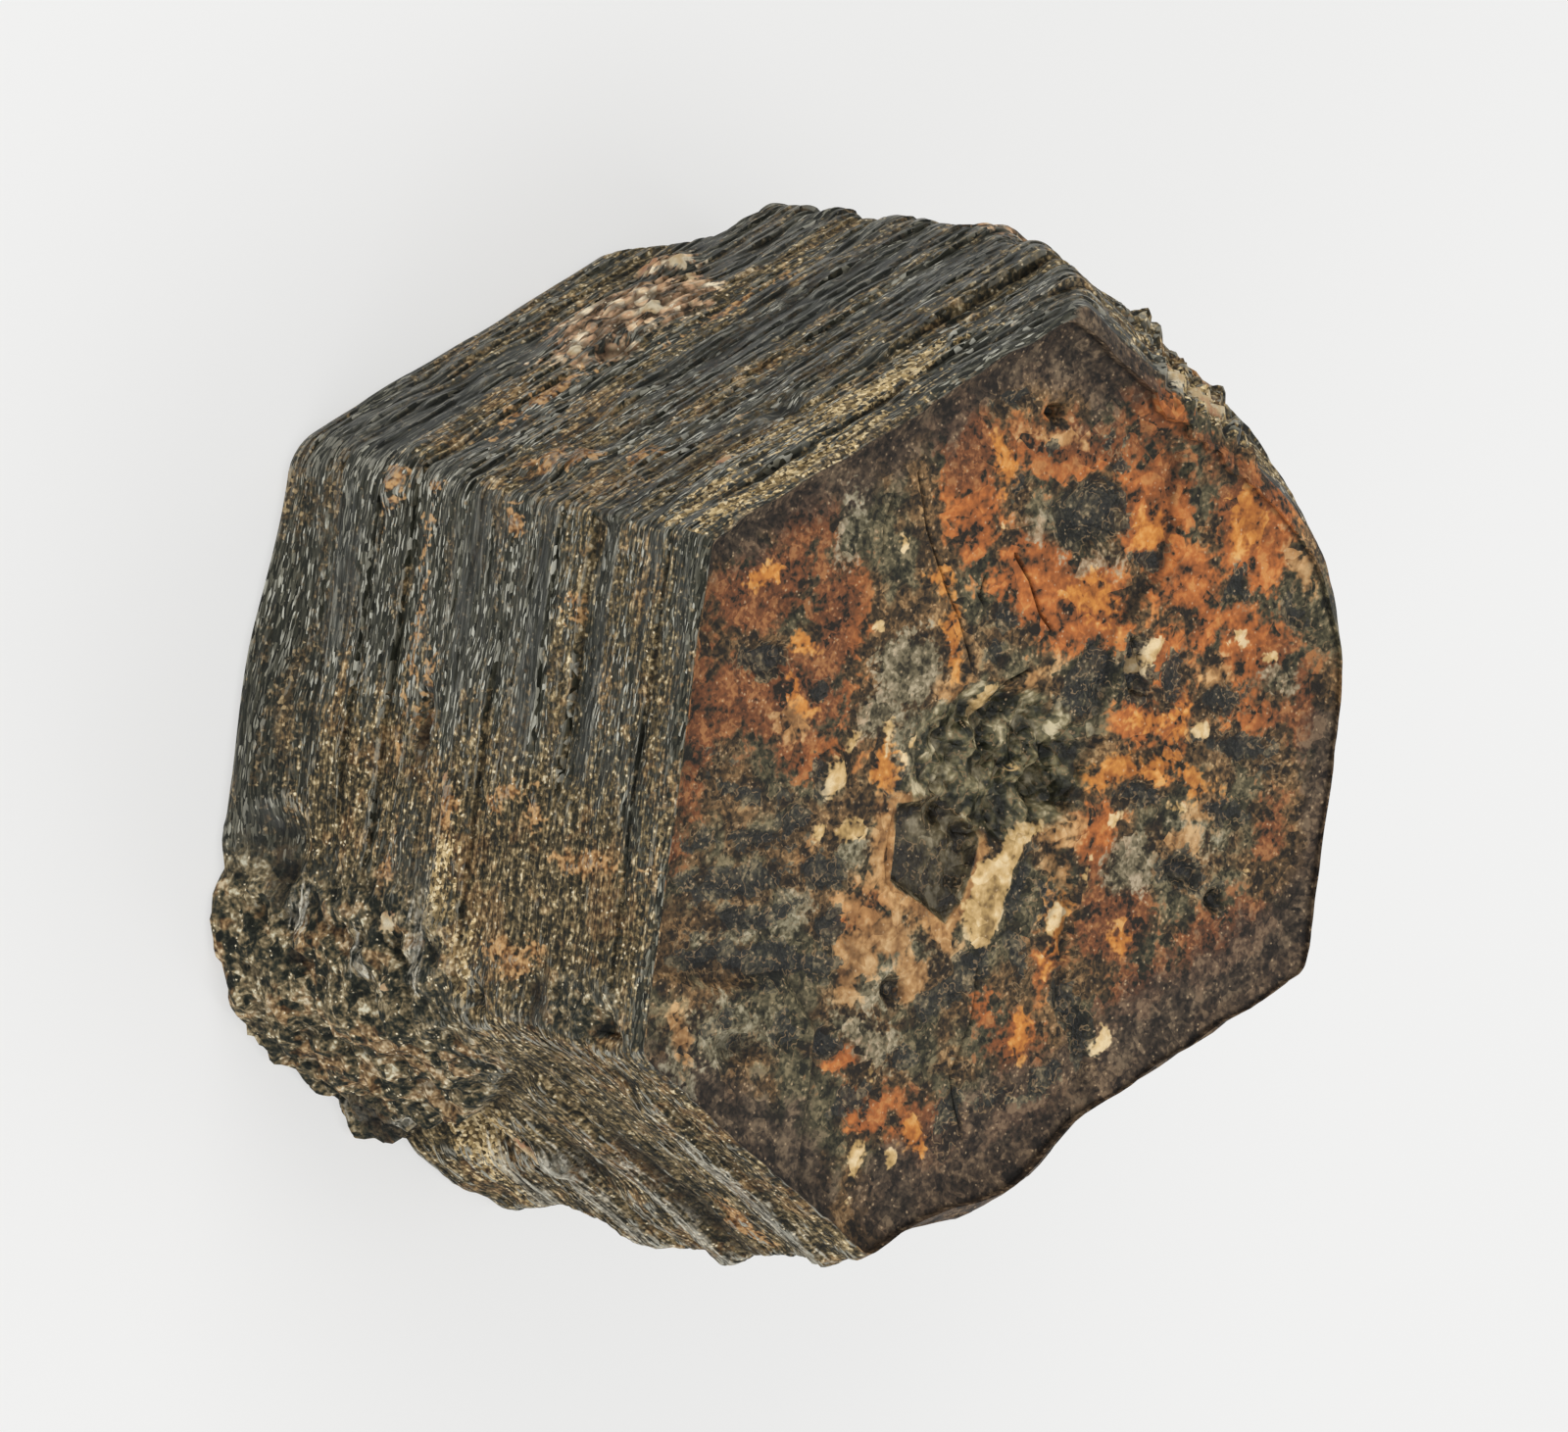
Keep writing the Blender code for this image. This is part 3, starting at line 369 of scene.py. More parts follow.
# Coloured patches of the sides: place along the side, height, half widths
SIDE_PATCHES = {
    # Smooth dark lamellae; their lighter blue-grey is partly a painted sheen
    "slick": {
        "FA": (
            (-1.7, 15.0, 4.4, 0.62), (-2.0, 12.6, 3.5, 0.35), (-4.5, 17.3, 2.0, 0.5),
            (-3.0, 9.2, 3.0, 0.45), (-3.5, 18.8, 3.0, 0.25), (-3.0, 3.4, 3.0, 0.5),
        ),
        "AB": (
            (-6.0, 15.2, 4.5, 0.75), (-5.0, 13.2, 5.0, 1.2), (-4.0, 10.5, 5.0, 1.2), (-5.5, 8.3, 4.5, 0.7),
            (4.5, 14.6, 4.0, 0.6), (5.0, 12.6, 3.0, 0.4), (2.0, 9.0, 4.0, 0.45), (-5.0, 17.1, 3.0, 0.25),
            (4.0, 17.7, 4.5, 0.3), (-2.5, 18.6, 4.0, 0.4), (5.5, 3.5, 2.5, 1.3), (-6.5, 2.0, 2.5, 1.0),
            (6.0, 6.5, 2.0, 0.6), (-6.5, 5.5, 1.5, 0.8), (3.0, 2.0, 4.0, 0.8),
        ),
        "BC": ((0.0, 10.0, 6.0, 1.0), (4.0, 14.0, 3.0, 0.8), (-4.0, 5.0, 3.0, 1.0), (3.0, 4.0, 4.0, 0.6)),
        "CD": ((0.0, 15.8, 6.0, 0.8), (-2.0, 9.8, 4.0, 0.9), (2.0, 5.0, 4.0, 0.8), (0.0, 12.2, 5.0, 0.6)),
        "DE": (
            (0.0, 17.3, 6.0, 0.6), (3.0, 13.0, 4.0, 0.8), (-3.0, 10.0, 4.0, 0.7), (0.0, 7.4, 6.0, 0.5),
            (2.0, 3.6, 4.0, 0.7),
        ),
    },
    "dust": {
        "FA": (
            (5.5, 14.3, 3.6, 4.2), (6.0, 17.0, 3.0, 2.0), (4.5, 10.4, 3.4, 1.4), (2.7, 7.0, 2.2, 1.8),
            (-1.0, 16.4, 4.5, 0.35), (4.0, 4.5, 3.0, 1.6), (-2.0, 13.9, 3.0, 0.3), (8.0, 6.0, 2.5, 3.0),
            (3.0, 18.4, 5.5, 0.5), (-3.5, 17.9, 3.0, 0.3),
        ),
        "AB": (
            (3.0, 15.8, 4.5, 0.3), (1.0, 12.2, 3.5, 0.45), (5.3, 9.9, 2.6, 1.1), (-1.0, 14.2, 2.5, 0.2),
            (-5.5, 16.3, 3.0, 0.35), (0.5, 8.2, 3.0, 0.5), (5.0, 5.3, 2.0, 0.7), (-4.5, 7.2, 3.0, 0.4),
            (-2.5, 1.5, 3.0, 0.6), (3.0, 17.0, 3.0, 0.4), (-3.0, 11.8, 2.5, 0.3), (7.0, 13.6, 1.5, 0.6),
        ),
        "EF": ((1.0, 10.0, 11.0, 12.0),),
        "BC": ((0.0, 17.0, 5.0, 1.6), (-3.0, 12.0, 4.0, 1.2), (4.0, 8.0, 3.0, 1.2), (0.0, 1.6, 7.0, 1.2)),
        "CD": ((0.0, 17.8, 6.0, 0.8), (3.0, 13.5, 4.0, 1.2), (-3.0, 6.5, 4.0, 1.0), (0.0, 2.5, 6.0, 1.4)),
        "DE": (
            (-3.0, 15.3, 4.0, 0.9), (3.0, 11.0, 4.0, 0.9), (-2.0, 8.8, 5.0, 0.7), (3.0, 5.4, 4.0, 0.9),
            (-2.0, 2.0, 5.0, 1.2),
        ),
    },
    "sand": {
        "AB": (
            (-0.6, 17.3, 3.2, 0.6), (4.4, 18.8, 3.8, 0.5), (7.0, 17.4, 1.6, 0.3), (1.5, 16.1, 1.5, 0.25),
        ),
        "FA": ((6.5, 9.9, 2.6, 0.5), (8.0, 11.1, 1.1, 0.6), (8.4, 8.4, 1.0, 0.5)),
        "EF": ((0.5, 6.0, 2.5, 1.0), (3.5, 2.4, 2.8, 0.7)),
        "BC": ((-0.4, 18.0, 2.6, 1.0),),
        "CD": ((4.0, 8.4, 1.6, 0.9),),
        "DE": ((-4.2, 18.4, 2.2, 0.9),),
    },
    "crust": {
        "AB": (
            (-2.4, 5.7, 1.9, 1.2), (-0.7, 4.7, 2.0, 1.1), (-3.1, 4.3, 1.1, 0.9), (0.2, 6.2, 1.1, 0.6),
            (-1.4, 3.4, 1.2, 0.6), (-4.8, 3.2, 0.9, 0.8),
        ),
        "CD": ((1.5, 8.9, 2.1, 0.9), (2.6, 8.2, 1.6, 0.5), (-0.4, 9.6, 1.2, 0.3)),
        "BC": ((3.5, 11.6, 2.0, 0.7), (4.4, 10.8, 1.2, 0.4)),
        "DE": ((-3.0, 5.7, 1.8, 0.6), (-1.8, 5.0, 1.3, 0.35), (4.0, 16.4, 1.4, 0.3)),
    },
    "ocher": {
        "AB": (
            (6.6, 10.6, 0.45, 0.5), (6.0, 11.3, 0.4, 0.45), (6.9, 9.7, 0.3, 0.35), (3.2, 6.4, 1.4, 0.25),
            (-3.4, 7.7, 1.5, 0.2), (5.0, 13.0, 0.4, 0.25), (5.7, 10.2, 0.3, 0.3),
        ),
        "FA": (
            (0.9, 7.8, 0.9, 0.3), (-5.4, 5.05, 0.5, 0.3), (4.2, 16.2, 0.3, 1.0), (2.8, 12.2, 0.35, 0.8),
            (-5.2, 11.0, 0.3, 0.35), (6.1, 6.9, 0.5, 0.25), (-2.0, 6.9, 2.2, 0.12), (7.4, 13.4, 0.3, 0.8),
            (3.2, 13.6, 0.3, 0.4), (3.4, 9.7, 0.5, 0.35), (-3.0, 13.9, 0.25, 0.3),
        ),
        "EF": ((-2.0, 4.0, 1.4, 0.9), (5.0, 13.6, 1.2, 0.6)),
        "BC": (
            (-2.4, 15.7, 1.4, 0.25), (-1.2, 15.2, 0.5, 0.3), (3.0, 5.2, 1.2, 0.2), (-5.0, 11.0, 0.6, 0.25),
        ),
        "CD": (
            (-4.2, 11.5, 1.6, 0.3), (-3.2, 11.0, 0.7, 0.35), (3.6, 14.6, 1.0, 0.2), (-1.0, 6.2, 1.5, 0.18),
        ),
        "DE": ((1.0, 15.1, 1.6, 0.22), (5.0, 9.7, 0.8, 0.3), (4.2, 9.2, 0.5, 0.3), (-4.5, 12.0, 1.2, 0.2)),
    },
    "chip": {
        "AB": (
            (-1.6, 5.7, 0.45, 0.35), (-4.8, 3.8, 0.4, 0.35), (-4.6, 2.5, 0.6, 0.35), (-4.2, 5.0, 0.3, 0.25),
            (2.2, 14.0, 0.3, 0.2), (-4.9, 16.7, 0.25, 0.15), (4.2, 15.9, 0.3, 0.15), (0.6, 5.2, 0.4, 0.3),
        ),
        "FA": ((9.6, 9.1, 0.45, 0.35), (9.5, 7.8, 0.35, 0.3), (7.2, 7.6, 0.35, 0.3), (3.0, 9.4, 0.25, 0.2)),
        "BC": (
            (-0.6, 18.2, 0.9, 0.35), (0.6, 17.6, 0.6, 0.3), (1.2, 18.5, 0.5, 0.35), (-1.6, 17.5, 0.5, 0.3),
        ),
        "EF": ((1.8, 6.8, 0.5, 0.4),),
    },
    # Pale grains and streaks; on side EF they are partly a painted highlight along the crests of its steps
    "pale": {
        "EF": (
            (2.5, 17.3, 3.6, 0.4), (4.6, 11.4, 2.8, 0.45), (2.8, 7.5, 0.8, 0.5), (5.6, 7.3, 2.2, 0.35),
            (1.8, 3.4, 0.5, 3.2, -32), (6.2, 3.0, 1.4, 0.4),
        ),
        "FA": ((9.2, 6.4, 0.8, 0.35), (7.6, 3.2, 0.5, 0.4), (9.7, 14.0, 0.3, 0.5), (7.9, 9.0, 1.3, 0.3)),
        "CD": ((1.0, 14.5, 3.0, 0.35), (-2.0, 4.4, 2.5, 0.4)),
        "DE": ((0.0, 12.6, 4.0, 0.4), (2.5, 7.2, 3.0, 0.35), (-3.0, 3.6, 2.5, 0.3)),
        "BC": ((-1.0, 14.4, 3.0, 0.35), (2.0, 6.7, 3.0, 0.3)),
    },
    "shade": {
        "AB": (
            (-1.5, 12.9, 2.5, 0.16), (3.5, 11.2, 2.0, 0.14), (0.0, 16.5, 1.5, 0.12), (-4.0, 9.4, 2.5, 0.16),
            (4.8, 15.2, 2.0, 0.14), (2.5, 13.9, 1.5, 0.12), (-0.5, 10.2, 1.5, 0.14),
            (-3.5, 14.3, 2.0, 0.12),
        ),
        "EF": ((3.2, 12.5, 3.6, 0.4), (2.9, 8.4, 0.8, 0.4), (0.8, 1.4, 1.6, 0.8), (4.4, 5.7, 2.5, 0.3)),
        "FA": (
            (1.6, 7.9, 0.8, 0.3), (9.3, 11.9, 0.7, 0.25), (9.3, 17.3, 0.4, 0.2), (7.0, 2.4, 0.7, 0.35),
            (9.4, 3.6, 0.8, 0.7), (9.8, 9.9, 0.4, 0.4), (8.6, 14.6, 0.5, 0.3),
        ),
        "DE": ((2.0, 9.0, 1.5, 0.35), (-3.0, 14.2, 2.0, 0.3)),
        "BC": ((-3.8, 8.2, 1.0, 0.35), (1.5, 12.6, 2.0, 0.3), (0.2, 18.2, 0.5, 0.3)),
        "CD": ((-3.2, 14.2, 0.9, 0.25), (3.4, 4.0, 1.1, 0.35)),
    },
    # Gleam: where the stone colour shows more of its light dashes, which are painted glints
    "gleam": {
        "FA": ((-2.6, 9.5, 5.6, 10.0),),
        "AB": ((3.0, 12.0, 5.0, 8.0), (-5.0, 14.0, 4.0, 6.0)),
        "EF": ((3.0, 12.0, 5.0, 6.0),),
        "CD": ((0.0, 10.0, 5.0, 8.0),),
        "DE": ((0.0, 12.0, 6.0, 6.0),),
    },
}
SIDE_WARP = (1.6, 0.7, 0.16)  # size of the ragged edges of side patches, how far along, how far up
SIDE_WARP_SEEDS = (31, 32)
MOST = 0.5  # from this share on, a point at a corner takes the marks of a side
FAR_OUTSIDE = -2.0  # a patch's mark where it is nowhere near, in mm

SMOOTHING_ROUNDS = 6
SHARP_ANGLE = math.radians(38)
BUMP_STRENGTH = 0.9
BUMP_HEIGHT = 0.05  # in millimetres
# Shares of that height, below 0 where the middle of a grain stands out
DASH_BUMP, GRIT_BUMP, CRUMB_BUMP = 0.5, -0.9, -0.4
SPECULAR = 0.25

# Textures: size of what they show, in mm, and for noise how many finer levels it has
SLOW = (2.6, 1.0)
BLOTCH = (0.7, 2.0)
FINE = (0.2, 1.0)
CRUMB = 0.11
CHUNK = 0.42
DASH = (0.3, 0.05)  # along the layers, and up
STREAK = (1.3, 0.12)
BAND = (4.0, 0.8)
STREAK_LEVELS = 1.0  # finer levels of both
NOISE_ROUGHNESS = 0.62
WARP = 0.4
CRUMB_WARP, CHUNK_WARP, DASH_WARP = 0.08, 0.16, 0.08

# Colours that follow a texture's value, as (value, colour)
SIDE_COLOURS = {
    # The lightest stops of the stone colour are painted glints on the layers' dashes
    "stone": (
        (0.0, (0.006, 0.007, 0.004)), (0.35, (0.020, 0.021, 0.013)), (0.62, (0.045, 0.044, 0.029)),
        (0.80, (0.090, 0.086, 0.061)), (0.90, (0.19, 0.182, 0.135)), (0.98, (0.52, 0.51, 0.43)),
    ),
    "brown": (
        (0.0, (0.016, 0.011, 0.005)), (0.4, (0.062, 0.042, 0.019)), (0.75, (0.16, 0.105, 0.047)),
        (0.97, (0.42, 0.30, 0.15)),
    ),
    # Smooth dark lamellae: the lighter stops are partly a painted sheen
    "slick": (
        (0.3, (0.008, 0.009, 0.007)), (0.46, (0.023, 0.025, 0.020)), (0.58, (0.050, 0.052, 0.043)),
        (0.74, (0.145, 0.143, 0.12)),
    ),
    "dust": (
        (0.15, (0.012, 0.011, 0.007)), (0.35, (0.042, 0.034, 0.018)), (0.5, (0.112, 0.082, 0.038)),
        (0.65, (0.25, 0.180, 0.085)), (0.8, (0.48, 0.37, 0.20)), (0.93, (0.82, 0.70, 0.46)),
    ),
    "sand": (
        (0.0, (0.05, 0.034, 0.015)), (0.3, (0.22, 0.150, 0.064)), (0.6, (0.52, 0.37, 0.165)),
        (0.95, (0.93, 0.74, 0.43)),
    ),
    "crust": (
        (0.26, (0.055, 0.037, 0.022)), (0.40, (0.23, 0.140, 0.075)), (0.52, (0.53, 0.325, 0.19)),
        (0.66, (0.63, 0.46, 0.28)), (0.8, (0.82, 0.70, 0.51)),
    ),
    "ocher": ((0.3, (0.07, 0.028, 0.010)), (0.48, (0.28, 0.13, 0.043)), (0.64, (0.62, 0.37, 0.16))),
    "broken": (
        (0.22, (0.006, 0.008, 0.005)), (0.38, (0.024, 0.026, 0.017)), (0.49, (0.080, 0.066, 0.036)),
        (0.60, (0.18, 0.135, 0.070)), (0.73, (0.38, 0.305, 0.18)), (0.86, (0.68, 0.64, 0.48)),
    ),
    # Pale grains, and on side EF partly a painted highlight along its crests
    "pale": ((0.3, (0.11, 0.101, 0.077)), (0.5, (0.33, 0.31, 0.25)), (0.7, (0.70, 0.66, 0.55))),
    "shade": ((0.3, (0.003, 0.003, 0.002)), (0.5, (0.014, 0.013, 0.010)), (0.7, (0.06, 0.045, 0.025))),
    "chip": ((0.35, (0.42, 0.22, 0.12)), (0.5, (0.52, 0.39, 0.22)), (0.65, (0.66, 0.58, 0.42))),
}
# Light grey of proud ledge edges: partly their worn lips, partly a painted highlight
LEDGE_WEAR_AND_HIGHLIGHT_COLOUR = (0.32, 0.31, 0.255)
# Colour of the painted glints on the sides
SIDE_PAINTED_GLINT = (0.80, 0.70, 0.50)
FRONT_COLOURS = {
    "brown": (
        (0.24, (0.014, 0.010, 0.006)), (0.4, (0.058, 0.036, 0.016)), (0.52, (0.13, 0.074, 0.030)),
        (0.64, (0.24, 0.135, 0.055)), (0.8, (0.44, 0.27, 0.12)),
    ),
    "olive": (
        (0.24, (0.012, 0.012, 0.007)), (0.42, (0.048, 0.043, 0.022)), (0.56, (0.105, 0.088, 0.046)),
        (0.72, (0.23, 0.185, 0.10)),
    ),
    "rust": (
        (0.30, (0.066, 0.029, 0.012)), (0.40, (0.195, 0.065, 0.019)), (0.50, (0.33, 0.101, 0.026)),
        (0.60, (0.49, 0.154, 0.036)), (0.72, (0.61, 0.26, 0.075)),
    ),
    "red": (
        (0.24, (0.040, 0.019, 0.011)), (0.42, (0.12, 0.045, 0.018)), (0.58, (0.21, 0.072, 0.025)),
        (0.74, (0.36, 0.155, 0.055)),
    ),
    "border": (
        (0.24, (0.014, 0.010, 0.007)), (0.44, (0.046, 0.031, 0.021)), (0.58, (0.090, 0.060, 0.038)),
        (0.76, (0.19, 0.13, 0.08)),
    ),
    "grey": (
        (0.24, (0.035, 0.030, 0.016)), (0.40, (0.105, 0.090, 0.050)), (0.53, (0.21, 0.182, 0.108)),
        (0.66, (0.32, 0.285, 0.19)), (0.8, (0.47, 0.42, 0.30)),
    ),
    "tan": (
        (0.28, (0.12, 0.055, 0.020)), (0.44, (0.31, 0.150, 0.052)), (0.56, (0.48, 0.255, 0.095)),
        (0.72, (0.66, 0.42, 0.20)),
    ),
    "dark": (
        (0.28, (0.004, 0.005, 0.003)), (0.46, (0.012, 0.013, 0.009)), (0.60, (0.032, 0.030, 0.018)),
        (0.73, (0.095, 0.080, 0.045)), (0.86, (0.26, 0.20, 0.11)),
    ),
    "middle": (
        (0.30, (0.007, 0.008, 0.004)), (0.42, (0.034, 0.033, 0.018)), (0.51, (0.094, 0.084, 0.043)),
        (0.60, (0.21, 0.175, 0.092)), (0.72, (0.50, 0.43, 0.28)),
    ),
    "amber": (
        (0.26, (0.22, 0.066, 0.014)), (0.45, (0.45, 0.15, 0.028)), (0.6, (0.64, 0.26, 0.05)),
        (0.76, (0.78, 0.43, 0.14)),
    ),
    "cream": (
        (0.32, (0.22, 0.135, 0.05)), (0.44, (0.45, 0.29, 0.11)), (0.56, (0.64, 0.44, 0.20)),
        (0.72, (0.80, 0.63, 0.38)),
    ),
}
# What a colour of the sides follows: a texture, and others added to it in the given amounts
SIDE_FOLLOWS = {
    # The stone colour is shifted towards its painted glints where the gleam patches lie
    "stone": ("dash", ("gleam", 0.1)),
    "brown": ("crumb",),
    "slick": ("streak", ("dash", 0.06)),
    "dust": ("fine", ("crumb", 0.36), ("streak", 0.9), ("blotch", 0.4)),
    "sand": ("crumb",),
    "crust": ("blotch", ("crumb", 0.1), ("chunk", 0.45)),
    "ocher": ("fine",),
    "broken": ("blotch", ("fine", 0.9), ("chunk", 0.28), ("crumb", 0.16)),
    "chip": ("blotch",),
    "pale": ("streak",),
    "shade": ("fine",),
}
# The same for the front face, with grain and without
TONE_FOLLOWS = ("blotch", ("chunk", 0.28), ("crumb", 0.26), ("fine", 0.5))
CALM_FOLLOWS = ("blotch", ("chunk", 0.16), ("fine", 0.3))
CALM = ("rust", "tan", "middle", "amber", "cream")  # patches with little grain
VEIN_COLOUR = (0.26, 0.17, 0.085)
# Colour of the painted glints on the front face
FRONT_PAINTED_GLINT = (0.62, 0.44, 0.26)
MIDDLE_SHADES = (1.3, 0.52)  # how light the rough hollow is, and the hexagonal pit

# Patches: how soft an edge is, and the textures that fray it, with their amounts
FRAYED = {
    "slick": (0.15, ("streak", 1.6), ("band", 1.2)),
    "dust": (0.6, ("band", 3.0), ("fine", 2.6), ("streak", 2.6)),
    "sand": (0.15, ("fine", 1.6), ("streak", 1.6)),
    "crust": (0.15, ("blotch", 1.8), ("streak", 1.2), ("fine", 0.8)),
    "ocher": (0.12, ("blotch", 1.4), ("fine", 1.2)),
    "pale": (0.25, ("streak", 1.6), ("fine", 1.0)),
    "shade": (0.15, ("fine", 1.2), ("streak", 0.8), ("blotch", 1.0)),
    "chip": (0.05, ("fine", 0.4)),
    "red": (0.8, ("slow", 2.5), ("blotch", 2.0)),
    "rust": (0.3, ("fine", 1.2), ("blotch", 2.4), ("chunk", 0.5)),
    "border": (0.5, ("slow", 1.8), ("blotch", 2.2), ("fine", 1.0)),
    "grey": (0.15, ("fine", 1.2), ("blotch", 1.2), ("chunk", 0.35)),
    "tan": (0.16, ("fine", 0.7), ("chunk", 0.35), ("blotch", 0.8)),
    "dark": (0.03, ("fine", 0.35), ("chunk", 0.34), ("blotch", 0.3)),
    "pit": (0.04, ("fine", 0.15)),
    "amber": (0.14, ("fine", 0.8), ("blotch", 1.0), ("chunk", 0.3)),
    "cream": (0.05, ("fine", 0.4), ("chunk", 0.15), ("blotch", 0.3)),
}
PIT_RIM_FRAYED = (("fine", 0.5), ("blotch", 0.8))
MIDDLE_FRAYED = (("blotch", 1.0),)
# How much of what lies under it a patch covers
COVERS = {
    "slick": 0.85, "sand": 0.9, "crust": 0.95, "ocher": 0.85, "shade": 0.85, "border": 0.9, "grey": 0.75,
    "tan": 0.85, "dark": 0.95, "pit rim": 0.9, "middle": 0.95, "vein": 0.8, "amber": 0.85, "cream": 0.95,
    "painted_glint": 0.5,
}
# Shares that rise with a value: from where to where and, unless it is from 0 to 1, from what to what
SHARES = {
    "browned": (0.5, 0.68, 0.0, 0.85), "orange dust": (0.5, 0.64, 0.0, 0.35),
    "dust on dashes": (0.1, 0.4, 0.25, 0.95), "gleam": (-0.5, 1.5), "crust grain": (0.35, 0.7, 1.25, 0.45),
    "broken": (0.1, 0.7), "orange lumps": (0.54, 0.66, 0.0, 0.4), "proud ledge": (0.012, 0.05),
    "ledge dashes": (0.4, 0.7), "pale grain": (0.2, 0.7, 0.35, 0.9), "speck": (0.86, 0.9),
    "speck middle": (0.25, 0.42, 1.0, 0.0), "side spark": (0.42, 0.56),
    "spark on dust": (0.1, 0.7, 0.15, 1.0), "side roughness": (0.0, 1.0, 0.42, 0.85),
    "olive": (0.46, 0.58), "rust tone": (0.24, 0.36),
    "pit rim": (-0.45, -0.3), "middle": (-0.1, 0.3), "near dark": (-0.5, -0.05),
    "vein": (0.004, 0.02, 1.0, 0.0), "vein gaps": (0.4, 0.5), "front spark": (0.4, 0.56),
    "front roughness": (0.0, 1.0, 0.65, 0.4), "front": (0.3, 0.7), "painted hollow shade": (-0.09, 0.02, 0.45, 1.0),
    "chunk bump": (-0.2, 0.3, -0.5, -4.0),
}
BROWNED_FOLLOWS = ("band", ("fine", 0.5), ("dash", 0.1))
ORANGE_DUST_FOLLOWS = ("blotch", ("slow", 0.8))
ORANGE_LUMPS_FOLLOW = ("slow", ("blotch", 1.2))
OLIVE_FOLLOWS = ("slow", ("blotch", 0.5))

# Camera: where it looks and from where, and the width of what it sees there
VIEW_TARGET = (-0.57, 0.65, 9.925)
VIEW_AZIMUTH = math.radians(-96.5)
VIEW_ELEVATION = math.radians(48.65)
VIEW_ROLL = math.radians(102.56)
VIEW_DISTANCE = 500
PIXELS_PER_MM = 34.06  # of the 1600 pixels across
VIEW_WIDTH = 1600 / PIXELS_PER_MM
SENSOR = 36

FLOOR_SIZE = 2.0
FLOOR_GAP = 0.00002
FLOOR_COLOUR = (0.3, 0.3, 0.3)
FLOOR_GLOW = 0.57
FLOOR_GLOW_COLOUR = (1.0, 1.0, 0.99)
FLOOR_ROUGHNESS = 0.9
WORLD_STRENGTH = 0.65
LIGHTS = (  # name, direction, distance, size, power, colour
    ("key", (-0.35, 0.75, 0.65), 0.45, 0.30, 0.57, (1.0, 0.99, 0.97)),
    ("fill", (-0.7, -0.8, 0.35), 0.5, 0.35, 0.94, (0.97, 0.98, 1.0)),
    ("top", (0.5, -0.2, 1.0), 0.5, 0.3, 0.53, (1.0, 1.0, 1.0)),
)


def ease(value, low, high):
    """0 below low, 1 above high and a smooth rise between them."""
    share = np.clip((np.asarray(value, float) - low) / (high - low), 0, 1)
    return share * share * (3 - 2 * share)


def within(value, low, high, fade):
    """1 between low and high, falling to 0 over the fade at each end."""
    return ease(value, low - fade / 2, low + fade / 2) * (1 - ease(value, high - fade / 2, high + fade / 2))


def read(table, where):
    """A table of (place, value) pairs, read with straight lines between them."""
    places, values = zip(*table)
    return np.interp(where, places, values)


def wobble(points, size, seed):
    """Smooth noise between about -1 and 1 at each point, whose bumps are about size across."""
    moved = np.asarray(points, float) / size + seed * SEED_STRIDE
    return np.array([noise.noise(Vector(point)) for point in moved])


def facets(points, size, seed):
    """Noise of flat-sided grains of about the given size: 1 in the middle of a grain, 0 between grains."""
    moved = np.asarray(points, float) / size + seed * SEED_STRIDE
    distances = np.array([noise.voronoi(Vector(point))[0][:2] for point in moved])
    return np.clip(FACET_SHARPNESS * (distances[:, 1] - distances[:, 0]), 0, 1)


def spots(table, along, up):
    """Sum of the round crusts and pits of a table."""
    total = np.zeros(len(along))
    for spot_along, spot_up, half_along, half_up, proud in table:
        distance = np.hypot((along - spot_along) / half_along, (up - spot_up) / half_up)
        total += proud * (1 - ease(distance, *SPOT_EDGE))
    return total


def side_relief(side, along, points):
    """How far the points of a side stand proud of its profile."""
    up = points[:, 2]
    relief = spots(SPOTS[side], along, up)
    step = SOFT_STEP if side == "EF" else STEP
    for low, high, proud, start, end in BANDS[side]:
        relief += proud * within(up, low, high, step) * within(along, start, end, BAND_FADE)
    relief += SIDE_WAVE * wobble(points * SIDE_WAVE_STRETCH, SIDE_WAVE_SIZE, SIDES.index(side))
    if side in ("EF", "FA"):
        rough = BREAK_ROUGHNESS * (1 - ease(up, *BREAK_FADE)) * wobble(points, BREAK_LUMP_SIZE, BREAK_SEED)
        if side == "EF":
            lip = 1 - ease(along - read(LIP_ALONG, up), 0, LIP_WIDTH)
            relief += lip * (read(LIP_PROUD, up) + rough)
        else:
            relief += ease(along, *BREAK_ON_FA) * rough
    if side == "BC":
        grainy = within(along, *GRAINS_ALONG, GRAINS_FADE) * ease(up, *GRAINS_FROM)
        relief += grainy * GRAIN_PROUD * (facets(points, GRAIN_SIZE, GRAIN_SEED) - GRAIN_REST)
    return relief


def corner_radius(corner, height):
    at_back, at_front = CORNER_RADII[corner]
    return at_back + (at_front - at_back) * float(ease(height, *RADIUS_CHANGES))


